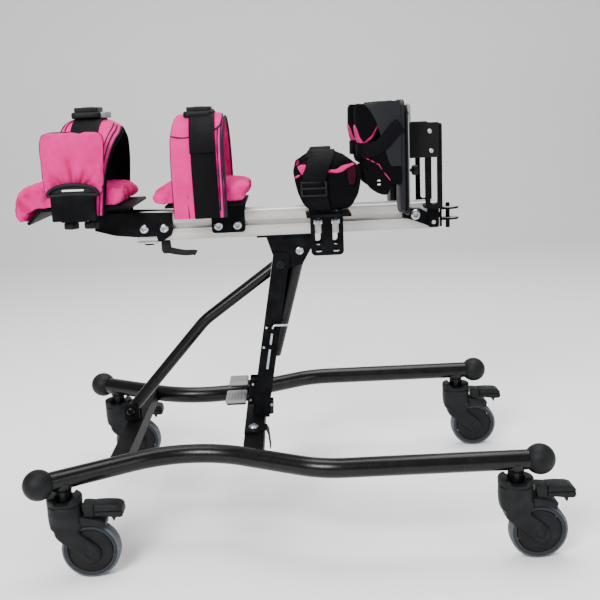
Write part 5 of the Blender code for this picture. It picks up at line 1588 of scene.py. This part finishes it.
# Edges of the wrap, its flap and its strap's middle: heights and the X there
CUFF_LEFT = ((0.587, 0.594, 0.6105, 0.6245, 0.6375, 0.6498, 0.6655, 0.672, 0.677, 0.686, 0.6915),
             (0.062, 0.0515, 0.0416, 0.0352, 0.0318, 0.0293, 0.0330, 0.0350, 0.0443, 0.055, 0.060))
CUFF_RIGHT = ((0.587, 0.5895, 0.595, 0.601, 0.614, 0.624, 0.6385, 0.6525, 0.6625, 0.673, 0.679, 0.6915),
              (0.1075, 0.116, 0.123, 0.1305, 0.1370, 0.1410, 0.1440, 0.1462, 0.1455, 0.139, 0.130, 0.112))
FLAP_LEFT = ((0.6665, 0.672, 0.6745, 0.678, 0.686, 0.694), (0.058, 0.050, 0.0385, 0.0440, 0.055, 0.062))
FLAP_RIGHT = ((0.662, 0.6665, 0.671, 0.6755, 0.6775, 0.682, 0.687, 0.692),
              (0.096, 0.105, 0.1145, 0.132, 0.1350, 0.127, 0.1135, 0.098))
KNEE_STRAP = ((0.590, 0.6035, 0.6135, 0.624, 0.636, 0.645, 0.654, 0.675, 0.687, 0.698),
              (0.073, 0.0700, 0.0670, 0.0642, 0.0608, 0.0612, 0.0630, 0.0710, 0.0790, 0.0835))
# The ladder-lock buckle's middle: X and height
LOCK = (0.0620, 0.6345)


def cuff_rows(side, faces, left, right, angles, count, crown, seed, wrinkle, dent=0.0):
    """Rings of a padded strip that goes round the knee between two angles, measured from the
    outer side and upwards. faces are its inner and outer distances from the cuff's surface,
    left and right its edges: heights and the X there. dent presses in the pocket by the flap."""
    inner, outer = faces
    angle = np.radians(np.linspace(*angles, count))
    height = CUFF_Z + (CUFF_OUTER + inner) * np.sin(angle)
    x0, x1 = np.interp(height, *left), np.interp(height, *right)
    turn = full_turn(48)
    flat = squared(np.cos(turn), 0.45)
    thick = squared(np.sin(turn), 0.75)
    x = ((x0 + x1) / 2)[:, None] + ((x1 - x0) / 2)[:, None] * flat
    roll = 0.0040 * np.abs(flat[None]) ** 3
    radius = CUFF_OUTER + (inner + outer) / 2 + (outer - inner) / 2 * thick[None] - roll
    radius = (radius + crown * (1 - flat[None] ** 2)) * np.ones((count, 1))
    round_way = np.degrees(angle)[:, None]
    radius = radius - dent * np.exp(-(((x - 0.1290) / 0.0070) ** 2) - ((round_way - 14) / 13) ** 2)
    across, up = np.cos(angle)[:, None], np.sin(angle)[:, None]
    radius = radius + ripple(np.stack([x, radius * across, radius * up], axis=-1), wrinkle, 0.026, seed)
    return np.stack([x, side * (CUFF_Y + radius * across), CUFF_Z + radius * up], axis=-1)


def cuff_patch(side, upper, lower, inner, outer):
    """A thin padded patch on the cuff between two lines, each told as points (x, z)."""
    lines = []
    stations = np.linspace(0, 1, 28)
    for line in (upper, lower):
        curve = smooth_path(line, 10)
        x, z = (np.interp(stations, share_along(curve), column) for column in curve.T)
        lines.append(np.stack([x, z], axis=-1))
    turn = full_turn(24)
    down = (1 - squared(np.cos(turn), 0.5)) / 2
    thick = (1 + squared(np.sin(turn), 0.7)) / 2
    flat = lines[0][:, None] * (1 - down[None, :, None]) + lines[1][:, None] * down[None, :, None]
    radius = CUFF_OUTER + inner + (outer - inner) * thick[None]
    rise = flat[..., 1] - CUFF_Z
    y = side * (CUFF_Y + np.sqrt(np.maximum(radius ** 2 - rise ** 2, 0)))
    return np.stack([flat[..., 0], y, flat[..., 1]], axis=-1)


# Pink patches of the lining that shows: upper line, lower line, how far out, finish; the darker finish is
# painted shade
CUFF_PATCHES = (
    (((0.078, 0.6665), (0.0945, 0.6665), (0.1035, 0.6668), (0.1137, 0.6722), (0.1339, 0.6760)),
     ((0.078, 0.6615), (0.0945, 0.6610), (0.1035, 0.6598),
      (0.1135, 0.6620), (0.1225, 0.6675), (0.1350, 0.6730)),
     0.0050, PLUSH),
    # Painted shade: the lining in the pocket by the flap, darker plush in place of its shadow.
    (((0.1220, 0.6670), (0.1225, 0.6530), (0.1250, 0.6390)),
     ((0.1355, 0.6725), (0.1360, 0.6560), (0.1335, 0.6400)),
     0.0022, SHADED_PLUSH),
    (((0.0350, 0.6730), (0.0420, 0.6760), (0.0500, 0.6765)),
     ((0.0365, 0.6685), (0.0395, 0.6630), (0.0435, 0.6585), (0.0490, 0.6690)),
     0.0030, PLUSH),
    (((0.0305, 0.6560), (0.0345, 0.6588), (0.0395, 0.6592)),
     ((0.0300, 0.6528), (0.0335, 0.6542), (0.0370, 0.6560)),
     0.0026, PLUSH),
)


def knee_bracket(label, body, slot):
    """The slotted bracket with its screws and washers, and the cuff's two studs."""
    side = SIDES[label]
    from_node(slot, MATT, 0.0009)
    screws, washers = Shell(), Shell()
    z = 0.5655
    stud = [(0, 0.5955), (0.0052, 0.5955), (0.0056, 0.5945), (0.0056, 0.5868), (0, 0.5868)]
    for x in (0.0702, 0.1028):
        hex_bolt(screws, (x, side * (RAIL_HALF + 0.0060), z), (0, side, 0), 0.0050, 0.0035)
        washers.grid(block((x, side * 0.0318, z), (0.0078, 0.0006, 0.0042), 0.0005, 3))
        screws.grid(turned(stud, (x, side * 0.046, 0), (0, 0, 1), 24), caps=False)
    screws.done("knee_screws_" + label, ZINC, body, slot)
    washers.done("knee_washers_" + label, ZINC, body, slot)


def knee_cuff(label, body, slot):
    """The padded cuff with its pink lining, its flap and the lining that shows at the edges."""
    side = SIDES[label]
    edges = CUFF_LEFT, CUFF_RIGHT
    shell = cuff_rows(side, (-0.0085, 0.0), *edges, (62, -216), 120, 0.0016, 31, 0.0009, 0.0045)
    padded_strip(shell, "knee_cuff_cover_" + label, FLEECE, body, slot, (slot,))
    edges = shifted_edge(CUFF_LEFT, 0.002), shifted_edge(CUFF_RIGHT, -0.0045)
    wide = cuff_rows(side, (-0.0130, -0.0078), *edges, (70, -224), 90, 0.0, 32, 0.0010)
    padded_strip(wide, "knee_cuff_lining_" + label, PLUSH, body, slot, ())
    flap = cuff_rows(side, (-0.0020, 0.0045), FLAP_LEFT, FLAP_RIGHT, (28, 150), 60, 0.0008, 33, 0.0009)
    padded_strip(flap, "knee_flap_" + label, FLEECE, body, slot, ())
    for number, (upper, lower, outer, finish) in enumerate(CUFF_PATCHES):
        patch = Shell().grid(cuff_patch(side, upper, lower, -0.0040, outer))
        patch.done("knee_lining_edge_%d_%s" % (number, label), finish, body, slot, (), 60.0)


def knee_strap(label, body, slot):
    """The webbing over the cuff with its loose end laid on it, and the ladder-lock buckle. The
    webbing lies on the cuff's circle, a little higher at its top and with a slight wave."""
    side = SIDES[label]
    angle = np.radians(np.linspace(-62, 150, 80))
    radius = CUFF_OUTER + 0.0048 + 0.0018 * np.clip(np.sin(angle), 0, 1) + 0.0004 * np.sin(angle * 5)
    height = CUFF_Z + radius * np.sin(angle)
    y = side * (CUFF_Y + radius * np.cos(angle))
    path = np.stack([np.interp(height, *KNEE_STRAP), y, height], axis=-1)
    webbing("knee_strap_" + label, path, 0.0390, body, slot, (1, 0, 0), 0.0026)
    degrees = np.degrees(angle)
    tail = path[(degrees > 4) & (degrees < 52)] + vec(0.0014, side * 0.0024, 0.0010)
    webbing("knee_strap_tail_" + label, tail, 0.0385, body, slot, (1, 0, 0), 0.0024)
    x, z = LOCK
    out = side * (CUFF_Y + CUFF_OUTER + 0.0068)
    lock = Shell()
    for rise, lift in ((0.0115, 0.0), (0.0010, 0.0014), (-0.0115, 0.0)):
        bar = block((x, out + side * (lift - 0.0004), z + rise), (0.0220, 0.0016, 0.0018), 0.0014, 4)
        lock.grid(bar)
    for across in (-0.0212, 0.0212):
        lock.grid(block((x + across, out, z), (0.0020, 0.0022, 0.0128), 0.0016, 4))
    lock.done("knee_ladder_lock_" + label, MOULDED, body, slot)


def knee_support(label):
    """The slotted bracket and its screws, and the cuff with its lining, strap and buckle."""
    body = "knee_support_" + label
    knee_bracket(label, body, "knee_bracket_" + label)
    knee_cuff(label, body, "knee_cuff_" + label)
    knee_strap(label, body, "knee_cuff_" + label)


# Foot section

FOOT_BAR_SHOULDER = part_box("foot_bar_near")[1].z - 0.004


def foot_screws(label):
    """The screws at the side arm, at the pivot and on the clamping bracket."""
    side = SIDES[label]
    arm = [((0.252, side * 0.0300, 0.571), (0, side, 0))]
    bolts("foot_arm_screw_" + label, "foot_arm_" + label, arm, 0.0098)
    pivot = [((0.285, side * 0.0350, 0.5565), (0, side, 0))]
    bolts("foot_pivot_screw_" + label, "foot_height_bar_" + label, pivot, 0.0042, STEEL, "foot_bar_" + label)
    places = [((x, side * 0.0673, z), (0, side, 0)) for x, z in ((0.274, 0.7235), (0.2766, 0.689))]
    bolts("foot_bracket_screws_" + label, "foot_rest_" + label, places, 0.0043, STEEL)


def footplate_pieces(label):
    """Side arm, slotted height bar, clamping bracket and footplate with their screws."""
    side = SIDES[label]
    body, slot = "foot_rest_" + label, "footplate_" + label
    from_node("foot_side_plate_" + label, MATT, 0.0009)
    from_node("foot_bar_" + label, MATT, 0.0009, (FOOT_BAR_SHOULDER, 0.007))
    from_node(slot, PLATE, 0.0009)
    foot_screws(label)
    profile = [(0, -0.016), (0.0030, -0.016), (0.0030, 0.0), (0.0078, 0.0005),
               (0.0092, 0.0030), (0.0092, 0.0085), (0.0078, 0.0110), (0, 0.0116)]
    rows = turned(profile, (0.2335, side * 0.0560, 0.655), (1, 0, 0), 32) + vec(0.0090, 0, 0)
    Shell().grid(rows, caps=False).done("foot_bracket_knob_" + label, MOULDED, body, slot)
    tab = round_rect(0.026, 0.034, 0.008, 5) + [side * 0.1030, 0.7565]
    Shell().grid(slab(tab, 0.2290, 0.2340, 0.0012, on_yz)).done("footplate_tab_" + label, ACETAL, body, slot)


# The foot: its middle out from the frame's, the X of its front, its depth, half width, the
# squareness of its outline, and the height that its outline is drawn at
SOLE_MIDDLE = 0.080
FOOT_FRONT = 0.139
FOOT_DEPTH = 0.0775
FOOT_HALF = 0.0335
FOOT_SQUARE = 0.62
FOOT_LEVEL = 0.734
# How far the foot's front lies back at each height
INSTEP = (
    (0.650, 0.661, 0.680, 0.696, 0.715, 0.734, 0.753, 0.768, 0.775, 0.779, 0.782),
    (0.0160, 0.0145, 0.0100, 0.0080, 0.0034, 0.0, 0.0, 0.0006, 0.0022, 0.0044, 0.0075),
)
# The front panel's lower edge, as points of X and height
PANEL_EDGE = (
    (0.139, 0.7765), (0.147, 0.7762), (0.156, 0.7722), (0.165, 0.7625), (0.174, 0.7450),
    (0.1795, 0.726), (0.1835, 0.706), (0.187, 0.690), (0.191, 0.676), (0.1945, 0.6670),
)
# The strips' edges: distances X and the heights there
PANEL_HIGH = ((0.139, 0.1710, 0.1735, 0.200), (0.7760, 0.7760, 0.7795, 0.7790))
TONGUE_LOW = ((0.139, 0.150, 0.165, 0.1725, 0.185, 0.200), (0.708, 0.712, 0.722, 0.733, 0.750, 0.760))
STRAP_MIDDLE = ((0.139, 0.153, 0.167, 0.177, 0.189, 0.2125), (0.694, 0.695, 0.698, 0.703, 0.712, 0.738))
QUARTER_HIGH = ((0.145, 0.180, 0.186, 0.190, 0.195, 0.210), (0.708, 0.714, 0.698, 0.680, 0.668, 0.666))
LINING_PATCH = ((0.139, 0.1423, 0.1440, 0.1474), (0.7410, 0.7296, 0.7180, 0.7105))
QUARTER_LOW = ((0.139, 0.150, 0.171, 0.178, 0.192, 0.210), (0.685, 0.682, 0.671, 0.658, 0.643, 0.640))
COUNTER_LOW = ((0.139, 0.153, 0.165, 0.210), (0.668, 0.659, 0.648, 0.634))
# The heel cup's levels: height, front, back, width
HEEL_LEVELS = (
    (0.6165, 0.187, 0.1915, 0.040), (0.6172, 0.182, 0.1940, 0.046), (0.6200, 0.1750, 0.1965, 0.052),
    (0.6250, 0.1675, 0.1985, 0.056), (0.6290, 0.163, 0.2010, 0.058), (0.6330, 0.1605, 0.2100, 0.059),
    (0.6400, 0.158, 0.2165, 0.061), (0.6500, 0.1565, 0.2165, 0.062), (0.6620, 0.1555, 0.2165, 0.0625),
)
HEEL_WALL = 0.0040


def foot_line(side, height, lift, start=-1.0, end=1.0, count=96):
    """The line round the foot at the heights that go with each distance X, lifted off it:
    from the inner side of the sole, at -1, over the instep to the outer side, at 1. From above
    it is half of a squared-off ellipse, set back at the front by the instep's table."""
    way = np.linspace(start, end, count)
    turn = (1 - np.abs(way)) * PI / 2
    x = FOOT_FRONT + FOOT_DEPTH * (1 - np.sin(turn) ** FOOT_SQUARE)
    across = np.sign(way) * FOOT_HALF * np.abs(np.cos(turn)) ** FOOT_SQUARE
    z = np.interp(x, *height) if isinstance(height, tuple) else np.full(count, height)
    tangent = unit(np.gradient(np.stack([x, across], axis=-1), axis=0))
    set_back = np.interp(z, *INSTEP) * (1 - (x - FOOT_FRONT) / FOOT_DEPTH)
    y = side * (SOLE_MIDDLE + across + tangent[:, 0] * lift)
    return np.stack([x - tangent[:, 1] * lift + set_back, y, z], axis=-1)


def foot_wrap(side, edges, faces, way=(-1.0, 1.0, 96), seed=0, wrinkle=0.0):
    """Rings of a strip round the foot: the heights of its lower and upper edges, its faces'
    distances from the foot, and its way round it: start, end and the number of rings."""
    turn = full_turn(36)
    flat = (1 + squared(np.cos(turn), 0.30)) / 2
    thick = (1 + squared(np.sin(turn), 0.75)) / 2
    low, high = (foot_line(side, edge, 0.0, *way)[:, 2:] for edge in edges)
    plan, lifted = (foot_line(side, FOOT_LEVEL, lift, *way)[:, :2] for lift in (0.0, 1.0))
    outward = lifted - plan
    z = low * (1 - flat) + high * flat
    inner, outer = faces
    lift = inner + (outer - inner) * thick + np.zeros_like(z)
    if wrinkle:
        places = np.stack([plan[:, :1] + 0 * z, plan[:, 1:] + 0 * z, z], axis=-1)
        lift = lift + ripple(places, wrinkle, 0.024, seed)
    set_back = np.interp(z, *INSTEP) * (1 - (plan[:, :1] - FOOT_FRONT) / FOOT_DEPTH)
    x = plan[:, :1] + outward[:, :1] * lift + set_back
    return np.stack([x, plan[:, 1:] + outward[:, 1:] * lift, z], axis=-1)


def heel_cup(side):
    """The cup under the heel, closed below: its outer levels upwards, then its inner ones down."""
    levels = np.array(HEEL_LEVELS)
    heights = np.concatenate([levels[:6, 0], np.linspace(levels[6, 0], levels[-1, 0], 8)])
    turn = full_turn(56)
    inner_heights = np.maximum(heights[::-1], heights[0] + HEEL_WALL)
    rows = []
    for inset, stations in ((0.0, heights), (HEEL_WALL, inner_heights)):
        for z in stations:
            front, back, width = (float(np.interp(z, levels[:, 0], levels[:, k])) for k in (1, 2, 3))
            front, half, back = front + inset, width / 2 - inset, back - inset
            x = (front + back) / 2 + (back - front) / 2 * squared(np.cos(turn), FOOT_SQUARE)
            across = half * squared(np.sin(turn), FOOT_SQUARE)
            rows.append(np.stack([x, side * (SOLE_MIDDLE + across), np.full(len(turn), z)], axis=-1))
    return np.stack(rows)


def sandal(label):
    """A sandal stood on its heel: sole, heel cup, tongue, pink lining, padded quarters and strap."""
    side = SIDES[label]
    body, slot = "foot_rest_" + label, "sandal_" + label
    sole_outline = round_rect(0.066, 0.199, 0.024, 8) + [side * SOLE_MIDDLE, 0.6815]
    sole = Shell().grid(slab(sole_outline, 0.2150, 0.2254, 0.0022, on_yz))
    sole.done("sandal_sole_" + label, LEATHER, body, slot, (slot,))
    edge = smooth_path(PANEL_EDGE, 6)
    panel = Shell().grid(foot_wrap(side, ((edge[:, 0], edge[:, 1]), PANEL_HIGH), (0.0000, 0.0028)))
    panel.done("sandal_panel_" + label, LEATHER, body, slot, (), 50.0)
    tongue = foot_wrap(side, (TONGUE_LOW, 0.7758), (-0.0060, 0.0003), seed=41, wrinkle=0.0004)
    padded_strip(tongue, "sandal_tongue_" + label, FLEECE, body, slot, ())
    inside = TONGUE_LOW[0], tuple(np.array(TONGUE_LOW[1]) - 0.0050)
    lining = foot_wrap(side, (inside, 0.7740), (-0.0115, -0.0030), seed=42, wrinkle=0.0006)
    padded_strip(lining, "sandal_lining_" + label, PLUSH, body, slot, ())
    fold = Shell().grid(foot_wrap(side, (0.7085, LINING_PATCH), (-0.0030, 0.0014), (-0.37, 0.37, 44)))
    fold.done("sandal_lining_fold_" + label, PLUSH, body, slot, (), 60.0)
    counter = foot_wrap(side, (COUNTER_LOW, 0.7050), (-0.0045, 0.0008), seed=43, wrinkle=0.0004)
    padded_strip(counter, "sandal_counter_" + label, FLEECE, body, slot, ())
    quarter = foot_wrap(side, (QUARTER_LOW, QUARTER_HIGH), (-0.0015, 0.0036), seed=44, wrinkle=0.0005)
    padded_strip(quarter, "sandal_quarter_" + label, FLEECE, body, slot, ())
    path = foot_line(side, STRAP_MIDDLE, 0.0050)
    webbing("sandal_strap_" + label, path, 0.024, body, slot, (0, 0, 1), 0.0026)
    points = 200
    weave_in = 0.0016 + 0.0019 * np.sin(np.arange(points) * 0.43)
    seam = foot_line(side, QUARTER_LOW, weave_in, -0.90, 0.90, points)
    piping("sandal_edge_" + label, seam, 0.0009, body, slot, (0, 0, 1), finish=PLUSH)
    Shell().grid(heel_cup(side)).done("sandal_heel_cup_" + label, FLEECE, body, slot, (), 50.0)
    for rise in (0.6362, 0.6430):
        eyelet = Shell().grid(block((0.1772, side * 0.1098, rise), (0.0028, 0.0014, 0.0013), 0.0009, 3))
        eyelet.done("sandal_eyelet_%d_%s" % (rise * 1000, label), CREAM, body, slot)


def foot_end():
    """The end block's two black plates on their post, and a bright lens-shaped cap on each."""
    from_node("foot_cross_block", MATT, 0.0006)
    turn = full_turn(48)
    x, y = 0.3195 + 0.0150 * np.cos(turn), 0.0165 * squared(np.sin(turn), 0.8)
    lens = np.stack([x, y], axis=-1)
    caps = Shell()
    for level in (0.5605, 0.5805):
        caps.grid(slab(lens, level - 0.0006, level + 0.0006, 0.0003, on_xy))
    caps.done("foot_end_caps", STEEL, "board", "foot_cross_block", (), 50.0)


for side_label in SIDES:
    knee_support(side_label)
    footplate_pieces(side_label)
    sandal(side_label)
foot_end()


# The studio

def paper_sweep():
    """A pale floor that curves up behind the frame into a wall."""
    turn = np.linspace(0, PI / 2, 14)
    back, bend, half_width, top = 3.2, 1.2, 5.0, 6.0
    curve = zip(back + bend * np.sin(turn), bend - bend * np.cos(turn))
    profile = np.array([(-3.0, 0.0), *curve, (back + bend, top)])
    count = len(profile)
    rows = [np.concatenate([np.full((count, 1), x), profile], axis=1) for x in (-half_width, half_width)]
    mesh = bpy.data.meshes.new("paper_sweep")
    faces = [(k, k + 1, count + k + 1, count + k) for k in range(count - 1)]
    mesh.from_pydata(np.concatenate(rows).tolist(), [], faces)
    mesh.shade_smooth()
    paper = Finish("studio_paper", 0.9)
    paper.colour(paper.noise(3.0, 2.0), (0.94, 0.94, 0.94), (0.97, 0.97, 0.97))
    mesh.materials.append(paper.material)
    in_scene("paper_sweep", mesh)


def photo_camera():
    """A camera set as the photograph's was: its place, lens and turn were fitted to the photo."""
    camera = in_scene("camera", bpy.data.cameras.new("camera"))
    focal_pixels, frame_pixels = 905.82, 600
    camera.data.sensor_width = 36.0
    camera.data.lens = focal_pixels * camera.data.sensor_width / frame_pixels
    yaw, pitch, roll = 0.0117, 0.2066, 0.0426
    turn = Matrix.Rotation(-yaw, 4, "Z") @ Matrix.Rotation(PI / 2 - pitch, 4, "X")
    turn = turn @ Matrix.Rotation(-roll, 4, "Z")
    camera.matrix_world = Matrix.Translation((0.01118, -1.70577, 0.76994)) @ turn
    bpy.context.scene.camera = camera


def light():
    """A soft white surround, and three square lamps, each told by place, size and watts."""
    world = bpy.data.worlds.new("studio")
    world.use_nodes = True
    background = world.node_tree.nodes["Background"]
    background.inputs["Color"].default_value = (1.0, 1.0, 1.0, 1.0)
    background.inputs["Strength"].default_value = 0.40
    bpy.context.scene.world = world
    middle = Vector((0, 0, 0.45))
    lamps = {
        "key": ((-1.1, -2.4, 2.1), 1.1, 130.0),
        "fill": ((2.2, -1.9, 1.2), 1.4, 25.0),
        "top": ((0.1, 0.6, 3.0), 2.2, 120.0),
    }
    for name, (place, size, power) in lamps.items():
        area = bpy.data.lights.new(name, "AREA")
        area.shape, area.size, area.energy = "SQUARE", size, power
        lamp = in_scene(name, area)
        lamp.location = place
        lamp.rotation_euler = (middle - Vector(place)).to_track_quat("-Z", "Y").to_euler()


paper_sweep()
photo_camera()
light()
